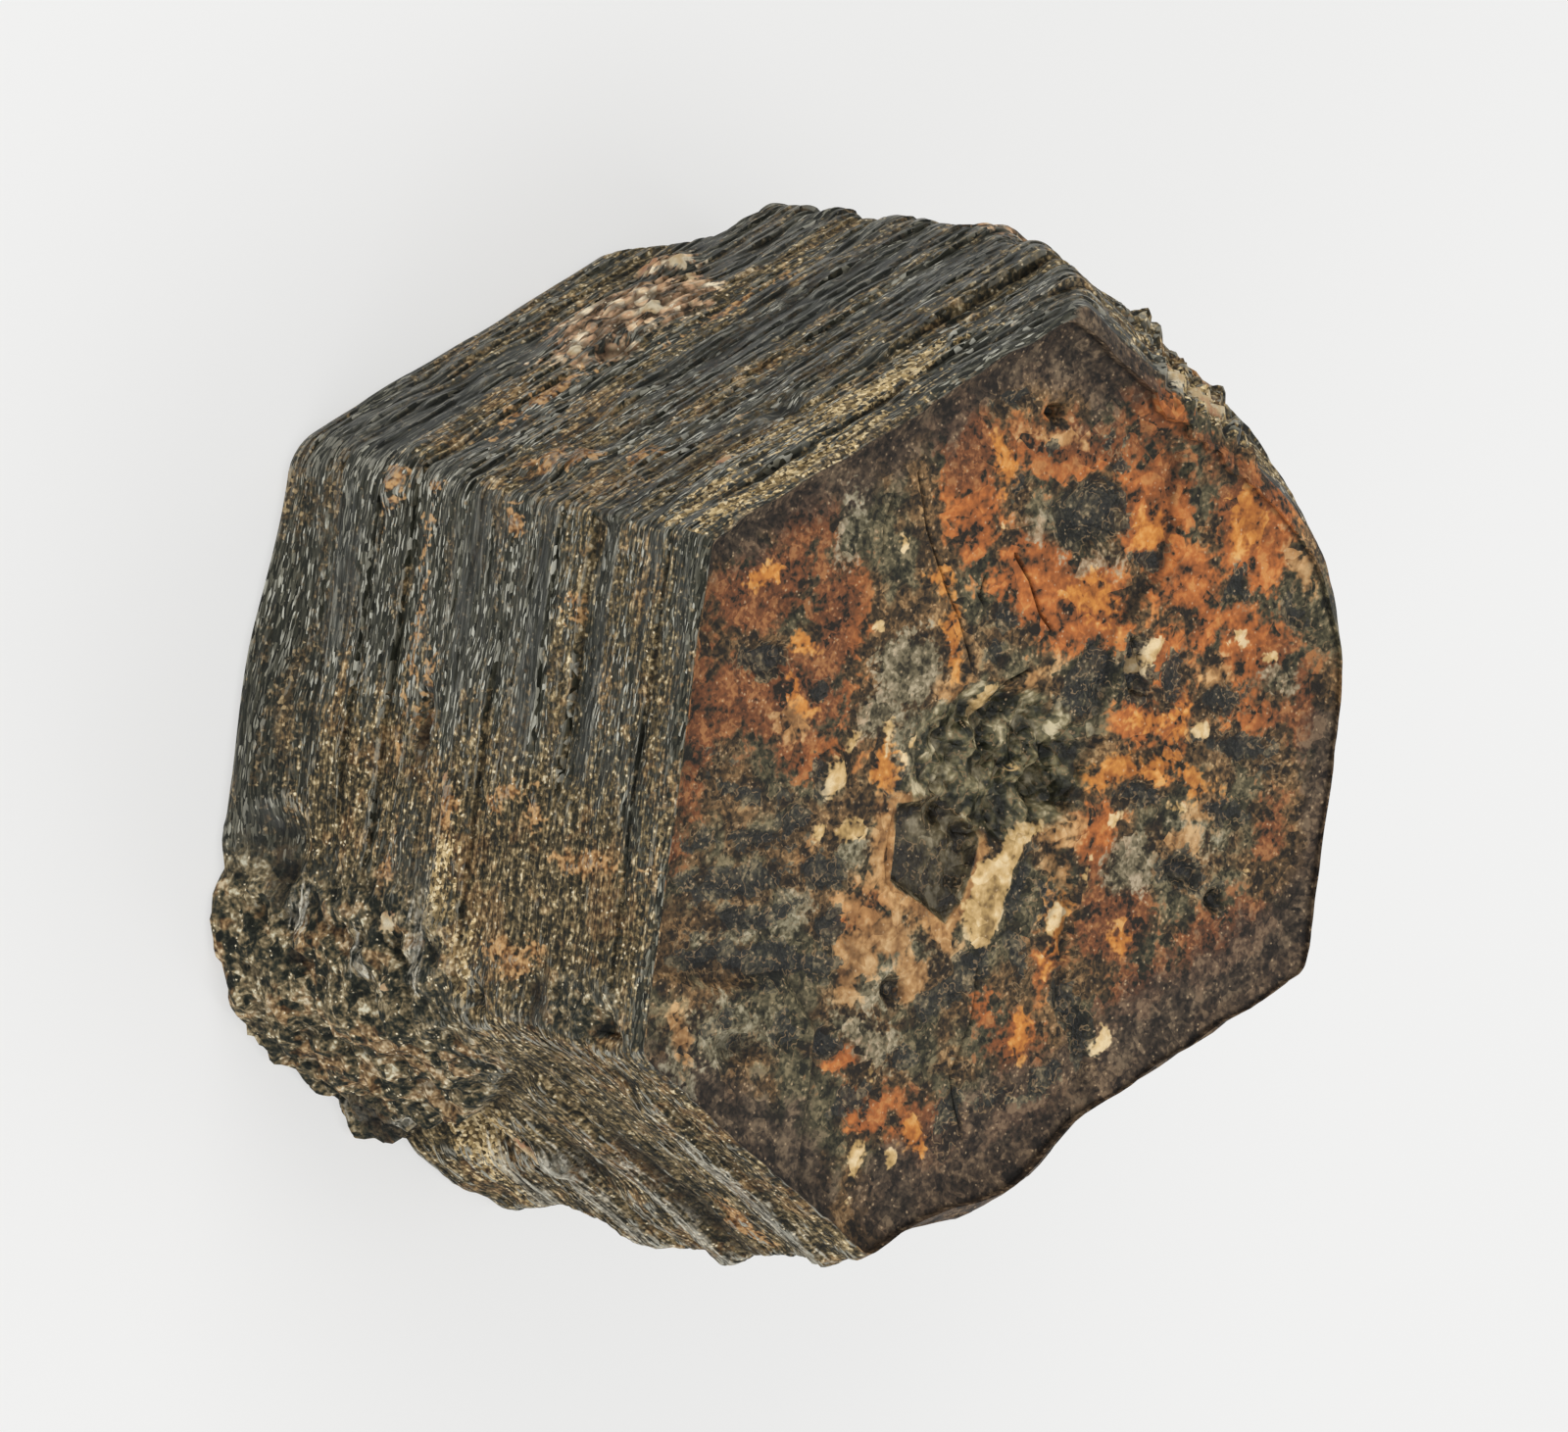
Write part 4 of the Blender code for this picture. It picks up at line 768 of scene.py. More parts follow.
def outline(height):
    """The plain outline at a height: points, the angle that each faces and, for every side, its share in
    each point."""
    distances = [float(read(PROFILES[side], height)) for side in SIDES]
    ends, starts = [], []
    for distance, after in zip(distances, distances[1:] + distances[:1]):
        ends.append((after - distance * math.cos(SIDE_TURN)) / math.sin(SIDE_TURN))
        starts.append((after * math.cos(SIDE_TURN) - distance) / math.sin(SIDE_TURN))
    points, angles, shares = [], [], []
    for index, side in enumerate(SIDES):
        corner = CORNERS[index]
        radius = corner_radius(corner, height)
        cut = radius * math.tan(SIDE_TURN / 2)
        cut_before = corner_radius(CORNERS[index - 1], height) * math.tan(SIDE_TURN / 2)
        facing = index * SIDE_TURN
        normal = np.array((math.cos(facing), math.sin(facing)))
        tangent = np.array((-math.sin(facing), math.cos(facing)))
        for along in np.linspace(starts[index - 1] + cut_before, ends[index] - cut, SIDE_POINTS[side]):
            points.append(distances[index] * normal + along * tangent)
            angles.append(facing)
            shares.append(np.eye(len(SIDES))[index])
        middle = (distances[index] - radius) * normal + (ends[index] - cut) * tangent
        turns = np.arange(1, CORNER_POINTS[corner] + 1) / (CORNER_POINTS[corner] + 1)
        for turn in turns:
            angle = facing + turn * SIDE_TURN
            points.append(middle + radius * np.array((math.cos(angle), math.sin(angle))))
            angles.append(angle)
            this_side, next_side = np.eye(len(SIDES))[[index, (index + 1) % len(SIDES)]]
            shares.append((1 - turn) * this_side + turn * next_side)
    return np.array(points), np.array(angles), np.array(shares)


def distance_to_line(points, line):
    """Distance of each point from a line of straight pieces, and whether it lies on the line's right."""
    nearest = np.full(len(points), np.inf)
    on_right = np.zeros(len(points), bool)
    for start, end in zip(line, line[1:]):
        start, end = np.array(start, float), np.array(end, float)
        run = end - start
        share = np.clip((points - start) @ run / (run @ run), 0, 1)
        offset = points - (start + share[:, None] * run)
        distance = np.hypot(*offset.T)
        closer = distance < nearest
        nearest[closer] = distance[closer]
        on_right[closer] = (run[0] * offset[closer, 1] - run[1] * offset[closer, 0]) < 0
    return nearest, on_right


def inside_outline(points, corners):
    """Distance inside a closed outline, negative outside it."""
    closed = (*corners, corners[0])
    distance, _ = distance_to_line(points, closed)
    inside = np.zeros(len(points), bool)
    for (x, y), (next_x, next_y) in zip(closed, closed[1:]):
        beside = (y > points[:, 1]) != (next_y > points[:, 1])
        crossing = x + (points[:, 1] - y) * (next_x - x) / ((next_y - y) or 1)
        inside ^= beside & (points[:, 0] < crossing)
    return np.where(inside, distance, -distance)


def on_plane(points):
    """Front face points as points in space, for the noises."""
    return np.column_stack((points, np.zeros(len(points))))


def from_hollow(points):
    """Distance of each point from the middle of the hollow, as a share of its half widths."""
    return np.hypot(*((points - MIDDLE_HOLLOW) / MIDDLE_HALF_WIDTHS).T)


def front_relief(points):
    """Height of the front face over its plane at each (x, y)."""
    solid = on_plane(points)
    relief = FRONT_WAVE * wobble(solid, FRONT_WAVE_SIZE, FRONT_SEED) + spots(FRONT_SPOTS, *points.T)
    hollow = 1 - ease(from_hollow(points), *MIDDLE_EDGE)
    relief -= hollow * (MIDDLE_DEPTH - MIDDLE_ROUGHNESS * wobble(solid, MIDDLE_LUMP_SIZE, MIDDLE_SEED))
    for line, depth in ((RIGHT_STEP, RIGHT_STEP_DEPTH), (LEFT_STEP, LEFT_STEP_DEPTH)):
        distance, on_right = distance_to_line(points, line)
        relief -= depth * ease(np.where(on_right, distance, -distance), *STEP_EDGE)
    for depth, wall, corners in FRONT_PITS:
        relief -= depth * ease(inside_outline(points, corners), 0, wall)
    return relief


def layer_edges():
    """Heights of the thin growth layers' edges, with every band's edge among them."""
    random_layers = random.Random(LAYER_SEED)
    edges = [RIM]
    for low, high in zip((RIM, *PARTINGS), (*PARTINGS, LAYERS_END)):
        count = max(1, round((high - low) / LAYER_THICKNESS))
        weights = [1 + LAYER_SPREAD * random_layers.uniform(-1, 1) for _ in range(count)]
        for weight in weights:
            edges.append(edges[-1] + (high - low) * weight / sum(weights))
    return edges


def wall_rows():
    """Every row of the sides: its height, its layer and whether it is the layer's lower or upper row."""
    edges = layer_edges()
    rows = [(height, 0, 0) for height in BACK_ROWS]
    for layer, (low, high) in enumerate(zip(edges, edges[1:])):
        rows += [(low + LAYER_GAP, layer, -1), (high - LAYER_GAP, layer, 1)]
    return rows + [(height, len(edges) - 2, 1) for height in FRONT_ROWS]


def in_layer(points, layer, size):
    """Points whose noise is the same over the whole thickness of a layer."""
    return np.column_stack((points[:, :2], np.full(len(points), layer * LAYER_STRIDE * size)))


def layer_relief(points, layer, edge):
    """How far a layer stands out of the side at each point of one of its two rows."""
    relief = np.zeros(len(points))
    for seed, (length, proud) in enumerate(LAYER_WAVES):
        relief += proud * wobble(in_layer(points, layer, length), length, seed)
    length, proud, abruptness = LAYER_PLATES
    plates = wobble(in_layer(points, layer, length), length, LAYER_PLATES_SEED)
    relief += proud * np.tanh(abruptness * plates)
    length, tilt = LAYER_TILT
    return relief + edge * tilt * wobble(in_layer(points, layer, length), length, LAYER_TILT_SEED)


def oval_distance(table, along, up):
    """Distance in mm inside the nearest of a table's ovals, negative outside them."""
    nearest = np.full(len(along), FAR_OUTSIDE)
    for oval_along, oval_up, half_along, half_up, *turn in table:
        angle = math.radians(turn[0]) if turn else 0
        off_along, off_up = along - oval_along, up - oval_up
        x = off_along * math.cos(angle) + off_up * math.sin(angle)
        y = off_up * math.cos(angle) - off_along * math.sin(angle)
        distance = (1 - np.hypot(x / half_along, y / half_up)) * min(half_along, half_up)
        nearest = np.maximum(nearest, distance)
    return nearest


def broken(side, along, up):
    """How much of the broken corner a point of a side belongs to, from 0 to 1."""
    if side == "EF":
        return (1 - ease(along - read(LIP_ALONG, up), 0, LIP_WIDTH)) * (1 - ease(up, *BREAK_FADE))
    if side == "FA":
        front_break = within(up, *FRONT_BREAK, FRONT_BREAK_FADE) * ease(along, *FRONT_BREAK_ON_FA)
        break_at_back = ease(along, *BREAK_ON_FA) * (1 - ease(up, *BREAK_FADE))
        return np.maximum(break_at_back, FRONT_BREAK_SHARE * front_break)
    return np.zeros(len(along))


def ring(height, layer, edge):
    """The points of the surface at a height, and the marks of their colours."""
    flat, angles, shares = outline(height)
    points = np.column_stack((flat, np.full(len(flat), height)))
    count = len(points)
    relief, rough, layered = np.zeros(count), np.zeros(count), np.zeros(count)
    front, ledge = np.zeros(count), np.zeros(count)
    marks = {name: np.full(count, FAR_OUTSIDE) for name in SIDE_PATCHES}
    size, warp_along, warp_up = SIDE_WARP
    drift_along = warp_along * wobble(points, size, SIDE_WARP_SEEDS[0])
    drift_up = warp_up * wobble(points, size / 2, SIDE_WARP_SEEDS[1])
    for index, side in enumerate(SIDES):
        facing = index * SIDE_TURN
        along = flat @ (-math.sin(facing), math.cos(facing))
        touched = shares[:, index] > 0
        share, here = shares[touched, index], along[touched]
        relief[touched] += share * side_relief(side, here, points[touched])
        rough[touched] += share * broken(side, here, points[touched, 2])
        layered[touched] += share * LAYER_SHARES[side]
        ledge[touched] += share * LEDGE_WEAR_AND_HIGHLIGHT_SHARES[side]
        front[touched] += share * ease(height, *FRONT_BEGINS.get(side, FRONT_EDGE))
        mine = shares[:, index] >= MOST
        for name, tables in SIDE_PATCHES.items():
            table = tables.get(side, ())
            marks[name][mine] = oval_distance(table, (along + drift_along)[mine], height + drift_up[mine])
    grit = wobble(points, GRIT_SIZE, GRIT_SEED)
    gritty = ease(np.maximum(marks["dust"], marks["sand"]), *GRITTY_EDGE)
    layered *= (1 - rough) * (1 - GRIT_COVERS * gritty) * ease(height, *LAYERS_SET_IN)
    relief += layered * layer_relief(points, layer, edge) + GRIT_PROUD * gritty * grit
    relief += ROUGH_PROUD * rough * (wobble(points, ROUGH_SIZE, ROUGH_SEED) + GRIT_ON_ROUGH * grit)
    for name, (proud, rise, even, size, seed) in LUMPY_PATCHES.items():
        relief += proud * ease(marks[name], *rise) * (even + wobble(points, size, seed))
    for name, (proud, rise) in STEPPED_PATCHES.items():
        relief += proud * ease(marks[name], *rise)
    marks["rough"] = rough
    marks["gritty"] = np.maximum(rough, gritty)
    marks["ledge"] = ledge * (1 - rough)
    marks["front"] = front
    marks["strata"] = points[:, 2].copy()
    length, drift = LAYER_DRIFT
    inner = ease(height, *DRIFT_BEGINS) * (1 - ease(height, *DRIFT_ENDS))
    points[:, 2] += inner * drift * wobble(points, length, LAYER_DRIFT_SEED)
    points[:, 0] += relief * np.cos(angles)
    points[:, 1] += relief * np.sin(angles)
    return points, marks


def warped(points):
    """Front face points moved about a little, so that patches get ragged edges."""
    solid = on_plane(points)
    moved = points.copy()
    for seed, (size, amount) in enumerate(PATCH_WARP):
        for axis, first_seed in enumerate(PATCH_WARP_SEEDS):
            moved[:, axis] += amount * wobble(solid, size, first_seed + seed)
    return moved


def front_marks(points):
    """Distances in mm inside the coloured patches of the front face."""
    moved = warped(points)
    marks = {name: oval_distance(table, *moved.T) for name, table in PATCHES.items()}
    part_moved = points + OUTLINE_WARP * (moved - points)
    marks["cream"] = np.maximum(marks["cream"], inside_outline(part_moved, CREAM_SHARD))
    for _, _, corners in (BLACK_PIT, DARK_PIT):
        marks["dark"] = np.maximum(marks["dark"], inside_outline(part_moved, corners))
    marks["pit"] = inside_outline(points + HEXAGON_WARP * (moved - points), HEXAGON_PIT[-1])
    border = np.full(len(points), FAR_OUTSIDE)
    for width, start, end in BORDER_LINES:
        distance, _ = distance_to_line(moved, (start, end))
        border = np.maximum(border, width - distance)
    marks["border"] = border
    marks["middle"] = (1 - from_hollow(moved)) * MIDDLE_HALF_WIDTHS[1]
    return {name: np.clip(mark, FAR_OUTSIDE, -FAR_OUTSIDE) for name, mark in marks.items()}


def fine_front_relief(points, marks):
    """The front face's small relief: chipped patches, ledges, cracks, crumbs of the rough hollow."""
    solid = on_plane(points)
    plain = 1 - BORDER_SMOOTHS * ease(marks["border"], *BORDER_EDGE)
    relief = sum(proud * plain * wobble(solid, size, FRONT_GRIT_SEED) for size, proud in FRONT_GRIT)
    for name, proud in PATCH_RELIEF.items():
        relief += proud * ease(marks[name], *PATCH_WALL)
    size, proud = MIDDLE_FACETS
    crystals = facets(solid, size, FACETS_SEED) - FACETS_REST
    relief += proud * (1 - ease(from_hollow(points), *MIDDLE_EDGE)) * crystals
    width, length, proud, abruptness = LEDGES
    streaks = wobble(solid * (width / length, 1, 1), width, LEDGES_SEED)
    relief += proud * (1 - ease(points[:, 0], *LEDGES_LEFT_OF)) * np.tanh(abruptness * streaks)
    for depth, line in CRACKS:
        distance, _ = distance_to_line(points, line)
        relief -= depth * (1 - ease(distance, CRACK_FLOOR, CRACK_WIDTH))
    return relief


def full_front_relief(points, marks, rim):
    """All relief of the front face. Nearer its rim there is less of it."""
    share = RIM_SHARE + (1 - RIM_SHARE) * ease(inside_outline(points, rim), 0, RIM_BLEND)
    return share * (front_relief(points) + fine_front_relief(points, marks))


def line_points(line, shifts):
    """Points beside a line of straight pieces, at each of the given distances from it."""
    points = []
    for start, end in zip(line, line[1:]):
        start, end = np.array(start, float), np.array(end, float)
        length = float(np.hypot(*(end - start)))
        across = np.array((end[1] - start[1], start[0] - end[0])) / length
        count = max(1, round(length / FRONT_SPACING))
        for shift in shifts:
            points += [start + shift * across + (end - start) * k / count for k in range(count)]
    return points


def lattice():
    """A triangular grid over more than the front face."""
    reach = np.arange(-LATTICE_REACH, LATTICE_REACH, FRONT_SPACING)
    rows = np.arange(-LATTICE_REACH, LATTICE_REACH, FRONT_SPACING * math.sqrt(3) / 2)
    shifted = enumerate(rows)
    return np.array([(x + FRONT_SPACING / 2 * (row % 2), y) for row, y in shifted for x in reach])


def front_points(rim):
    """Points inside the rim of the front face, closer together at its steps, pits and cracks."""
    fixed = []
    for line in (RIGHT_STEP, LEFT_STEP):
        fixed += line_points(line, STEP_EDGE)
    for _, line in CRACKS:
        fixed += line_points(line, (-CRACK_WIDTH, 0, CRACK_WIDTH))
    for _, _, corners in FRONT_PITS:
        fixed += line_points((*corners, corners[0]), (0,))
    fixed = np.array(fixed)
    grid = lattice()
    grid = grid[inside_outline(grid, rim) > CLEAR_OF_RIM * FRONT_SPACING]
    nearest = np.full(len(grid), np.inf)
    for point in fixed:
        nearest = np.minimum(nearest, np.hypot(*(grid - point).T))
    kept = fixed[inside_outline(fixed, rim) > CLEAR_OF_RIM * FRONT_SPACING]
    return np.concatenate((kept, grid[nearest > CLEAR_OF_EDGES * FRONT_SPACING]))


def crystal_surface():
    """Points, faces and marks of the whole closed surface, in millimetres."""
    rows = wall_rows()
    rings, ring_marks = zip(*(ring(*row) for row in rows))
    count = len(rings[0])
    rim = rings[-1][:, :2].copy()
    inner = front_points(rim)
    face = np.concatenate((rim, inner))
    high = np.array([k for k, row in enumerate(rows[:-1]) if row[0] > FRONT_MARKS_FROM])
    above = np.concatenate([rings[k][:, :2] for k in high])
    marks_on_face = front_marks(face)
    marks_above = front_marks(above)
    height = HEIGHT + full_front_relief(face, marks_on_face, rim)
    rings[-1][:, 2] = height[:count]
    points = np.concatenate((*rings, np.column_stack((inner, height[count:]))))
    walls = count * (len(rings) - 1)
    marks = {}
    for name in ring_marks[0]:
        on_walls = np.concatenate([row[name] for row in ring_marks])
        marks[name] = np.concatenate((on_walls, np.full(len(inner), on_walls.min())))
    low_rows = walls - len(above)
    for name, values in marks_on_face.items():
        marks[name] = np.concatenate((np.full(low_rows, FAR_OUTSIDE), marks_above[name], values))
    marks["front"][-len(inner):] = 1
    marks["strata"][-len(inner):] = HEIGHT
    faces = [tuple(range(count))[::-1]]
    for row in range(len(rings) - 1):
        low = row * count
        for k in range(count):
            after = (k + 1) % count
            faces.append((low + k, low + after, low + count + after, low + count + k))
    flat = [Vector(point) for point in face]
    border = [list(range(count))]
    _, _, triangles, originals, _, _ = delaunay_2d_cdt(flat, [], border, ONLY_INSIDE, SAME_POINT)
    faces += [tuple(walls + originals[corner][0] for corner in triangle) for triangle in triangles]
    return points, faces, marks


def stand_out(mesh, rounds):
    """How far each point stands out of the surface round it, in millimetres."""
    points = np.empty(len(mesh.vertices) * 3)
    mesh.vertices.foreach_get("co", points)
    points = points.reshape(-1, 3) / MM
    normals = np.empty(len(mesh.vertices) * 3)
    mesh.vertices.foreach_get("normal", normals)
    edges = np.empty(len(mesh.edges) * 2, int)
    mesh.edges.foreach_get("vertices", edges)
    edges = edges.reshape(-1, 2)
    near = np.bincount(edges.ravel(), minlength=len(points))[:, None]
    smooth = points
    for _ in range(rounds):
        total = np.zeros_like(points)
        np.add.at(total, edges[:, 0], smooth[edges[:, 1]])
        np.add.at(total, edges[:, 1], smooth[edges[:, 0]])
        smooth = (smooth + total) / (near + 1)
    return np.einsum("ij,ij->i", points - smooth, normals.reshape(-1, 3))


def crystal():
    """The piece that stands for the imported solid."""
    points, faces, marks = crystal_surface()
    points[:, :2] -= BOX_MIDDLE
    mesh = bpy.data.meshes.new(PIECE)
    mesh.from_pydata((points * MM).tolist(), [], faces)
    mesh.validate()
    marks["proud"] = stand_out(mesh, SMOOTHING_ROUNDS)
    for name, values in marks.items():
        mesh.attributes.new(name, "FLOAT", "POINT").data.foreach_set("value", values.astype(np.float32))
    mesh.shade_smooth()
    mesh.set_sharp_from_angle(angle=SHARP_ANGLE)
    piece = bpy.data.objects.new(PIECE, mesh)
    bpy.context.scene.collection.objects.link(piece)
    return piece


class Graph:
    """Short calls that add nodes to a material and give back their output sockets."""

    def __init__(self, name):
        self.material = bpy.data.materials.new(name)
        self.material.use_nodes = True
        self.tree = self.material.node_tree
        self.shader = self.tree.nodes["Principled BSDF"]

    def put(self, socket, value):
        """Link a socket's value, or set it where it is a number or a colour."""
        if isinstance(value, bpy.types.NodeSocket):
            self.tree.links.new(value, socket)
        elif isinstance(value, tuple) and socket.type == "RGBA":
            socket.default_value = (*value, 1)
        else:
            socket.default_value = value

    def node(self, kind, inputs, **settings):
        """A node with its settings made and its inputs put."""
        made = self.tree.nodes.new(kind)
        for name, value in settings.items():
            setattr(made, name, value)
        for name, value in inputs.items():
            self.put(made.inputs[name], value)
        return made.outputs

    def mark(self, name):
        """A value that is stored in the points of the mesh."""
        return self.node("ShaderNodeAttribute", {}, attribute_name=name)["Fac"]

    def place(self):
        """The place on the object, in millimetres."""
        place = self.node("ShaderNodeTexCoord", {})["Object"]
        return self.node("ShaderNodeVectorMath", {0: place, "Scale": 1 / MM}, operation="SCALE")[0]

    def along_layers(self, place):
        """The place, with the height read from the growth layers."""
        split = self.node("ShaderNodeSeparateXYZ", {0: place})
        inputs = {"X": split["X"], "Y": split["Y"], "Z": self.mark("strata")}
        return self.node("ShaderNodeCombineXYZ", inputs)[0]

    def stretched(self, place, along, up):
        """The place, scaled so that noise of size 1 is so long along the layers and so high."""
        scale = (1 / along, 1 / along, 1 / up)
        return self.node("ShaderNodeMapping", {"Vector": place, "Scale": scale})[0]

    def noise(self, place, size, detail, output="Fac"):
        inputs = {"Vector": place, "Scale": 1 / size, "Detail": detail, "Roughness": NOISE_ROUGHNESS}
        return self.node("ShaderNodeTexNoise", inputs)[output]

    def moved(self, place, drift, amount):
        """The place, moved about by the colour of a noise."""
        inputs = {0: drift, 1: (amount, amount, amount), 2: place}
        return self.node("ShaderNodeVectorMath", inputs, operation="MULTIPLY_ADD")[0]

    def grains(self, place, size=1.0):
        """Grains of the given size: a number from 0 to 1 for each, and the distance from its middle."""
        made = self.node("ShaderNodeTexVoronoi", {"Vector": place, "Scale": 1 / size})
        return self.node("ShaderNodeSeparateColor", {0: made["Color"]})["Red"], made["Distance"]

    def math(self, operation, *values):
        return self.node("ShaderNodeMath", dict(enumerate(values)), operation=operation)[0]

    def product(self, first, *others):
        for other in others:
            first = self.math("MULTIPLY", first, other)
        return first

    def most(self, first, *others):
        for other in others:
            first = self.math("MAXIMUM", first, other)
        return first

    def sum(self, value, *parts):
        """A value with (noise, amount) pairs added, each noise taken about its middle."""
        for rough, amount in parts:
            value = self.math("MULTIPLY_ADD", self.math("SUBTRACT", rough, 0.5), amount, value)
        return value

    def rise(self, value, low, high, bottom=0.0, top=1.0):
        """A smooth rise from bottom to top as the value goes from low to high."""
        inputs = {"Value": value, "From Min": low, "From Max": high, "To Min": bottom, "To Max": top}
        return self.node("ShaderNodeMapRange", inputs, interpolation_type="SMOOTHSTEP")["Result"]

    def mix(self, first, second, share):
        return self.node("ShaderNodeMix", {0: share, 6: first, 7: second}, data_type="RGBA")[2]

    def mix_value(self, first, second, share):
        return self.node("ShaderNodeMix", {0: share, 2: first, 3: second}, data_type="FLOAT")[0]

    def scaled(self, colour, factor):
        """A colour made lighter or darker."""
        return self.node("ShaderNodeVectorMath", {0: colour, "Scale": factor}, operation="SCALE")[0]

    def steps(self, value, stops):
        """A colour that follows the value: (place, colour) pairs."""
        made = self.tree.nodes.new("ShaderNodeValToRGB")
        ramp = made.color_ramp
        ramp.elements[0].position, ramp.elements[1].position = stops[0][0], stops[-1][0]
        for position, _ in stops[1:-1]:
            ramp.elements.new(position)
        for element, (_, colour) in zip(ramp.elements, stops):
            element.color = (*colour, 1)
        self.put(made.inputs[0], value)
        return made.outputs["Color"]

    def share(self, name, value):
        """One of SHARES, read at the value."""
        return self.rise(value, *SHARES[name])

    def blend(self, textures, first, *others):
        """A texture with others added to it, as (name, amount) pairs."""
        return self.sum(textures[first], *((textures[name], amount) for name, amount in others))

    def frayed(self, textures, mark, edges):
        """A mark of the mesh with textures added to it, as (name, amount) pairs."""
        return self.sum(self.mark(mark), *((textures[name], amount) for name, amount in edges))

    def patch(self, textures, name):
        """Where a patch lies: 1 in it and 0 outside, with a frayed edge."""
        edge, *edges = FRAYED[name]
        return self.rise(self.frayed(textures, name, edges), -edge, edge)

    def laid(self, under, over, where, name):
        """A colour with another laid over it where a patch lies."""
        return self.mix(under, over, self.product(where, COVERS[name]))


def side_colours(g, t):
    """Colour and roughness of the sides."""
    ramp = {name: g.steps(g.blend(t, *SIDE_FOLLOWS[name]), stops) for name, stops in SIDE_COLOURS.items()}
    patch = {name: g.patch(t, name) for name in SIDE_PATCHES if name in FRAYED}
    colour = g.mix(ramp["stone"], ramp["brown"], g.share("browned", g.blend(t, *BROWNED_FOLLOWS)))
    # Smooth lamellae, partly a painted sheen
    colour = g.laid(colour, ramp["slick"], patch["slick"], "slick")
    orange = g.share("orange dust", g.blend(t, *ORANGE_DUST_FOLLOWS))
    dust = g.product(patch["dust"], g.share("dust on dashes", t["dash"]))
    colour = g.mix(colour, g.mix(ramp["dust"], ramp["ocher"], orange), dust)
    colour = g.laid(colour, ramp["sand"], patch["sand"], "sand")
    crust = g.scaled(ramp["crust"], g.share("crust grain", t["chunk middle"]))
    colour = g.laid(colour, crust, patch["crust"], "crust")
    colour = g.laid(colour, ramp["ocher"], patch["ocher"], "ocher")
    rough = g.mark("rough")
    orange = g.share("orange lumps", g.blend(t, *ORANGE_LUMPS_FOLLOW))
    colour = g.mix(colour, g.mix(ramp["broken"], ramp["ocher"], orange), g.share("broken", rough))
    # Proud ledge edges made light grey: partly worn lips, partly a painted highlight
    proud = g.share("proud ledge", g.mark("proud"))
    ledge = g.product(proud, g.share("ledge dashes", t["dash"]), g.mark("ledge"))
    colour = g.mix(colour, LEDGE_WEAR_AND_HIGHLIGHT_COLOUR, ledge)
    # Pale grains, on side EF partly a painted highlight along the crests
    colour = g.mix(colour, ramp["pale"], g.product(patch["pale"], g.share("pale grain", t["crumb"])))
    matte = g.most(patch["dust"], patch["sand"], patch["crust"], rough)
    # Painted glints: light specks laid over the colour
    painted_glint = g.product(t["speck"], g.share("side spark", t["fine"]), g.share("spark on dust", matte))
    colour = g.mix(colour, SIDE_PAINTED_GLINT, painted_glint)
    colour = g.laid(colour, ramp["shade"], patch["shade"], "shade")
    colour = g.mix(colour, ramp["chip"], patch["chip"])
    return colour, g.share("side roughness", matte)


def front_colours(g, t):
    """Colour and roughness of the front face."""
    calm, tone = g.blend(t, *CALM_FOLLOWS), g.blend(t, *TONE_FOLLOWS)
    ramp = {name: g.steps(calm if name in CALM else tone, stops) for name, stops in FRONT_COLOURS.items()}
    patch = {name: g.patch(t, name) for name in (*PATCHES, "border", "pit")}
    colour = g.mix(ramp["brown"], ramp["olive"], g.share("olive", g.blend(t, *OLIVE_FOLLOWS)))
    rust = g.product(patch["rust"], g.share("rust tone", tone))
    colour = g.mix(colour, g.mix(ramp["rust"], ramp["red"], patch["red"]), rust)
    for name in ("border", "grey", "tan", "dark"):
        colour = g.laid(colour, ramp[name], patch[name], name)
    rim = g.share("pit rim", g.frayed(t, "pit", PIT_RIM_FRAYED))
    colour = g.laid(colour, ramp["tan"], rim, "pit rim")
    middle = g.share("middle", g.frayed(t, "middle", MIDDLE_FRAYED))
    sunken = g.most(middle, patch["pit"])
    stone = g.scaled(ramp["middle"], g.mix_value(*MIDDLE_SHADES, patch["pit"]))
    colour = g.laid(colour, stone, sunken, "middle")
    near_dark = g.most(g.share("near dark", g.mark("dark")), middle)
    vein = g.share("vein", g.math("ABSOLUTE", g.math("SUBTRACT", t["blotch"], 0.5)))
    vein = g.product(vein, near_dark, g.share("vein gaps", t["fine"]))
    colour = g.laid(colour, VEIN_COLOUR, vein, "vein")
    for name in ("amber", "cream"):
        colour = g.laid(colour, ramp[name], patch[name], name)
    # Painted glints: light specks laid over the colour
    painted_glint = g.product(t["speck"], g.share("front spark", t["fine"]))
    colour = g.laid(colour, FRONT_PAINTED_GLINT, painted_glint, "painted_glint")
    return colour, g.share("front roughness", g.most(patch["dark"], sunken))


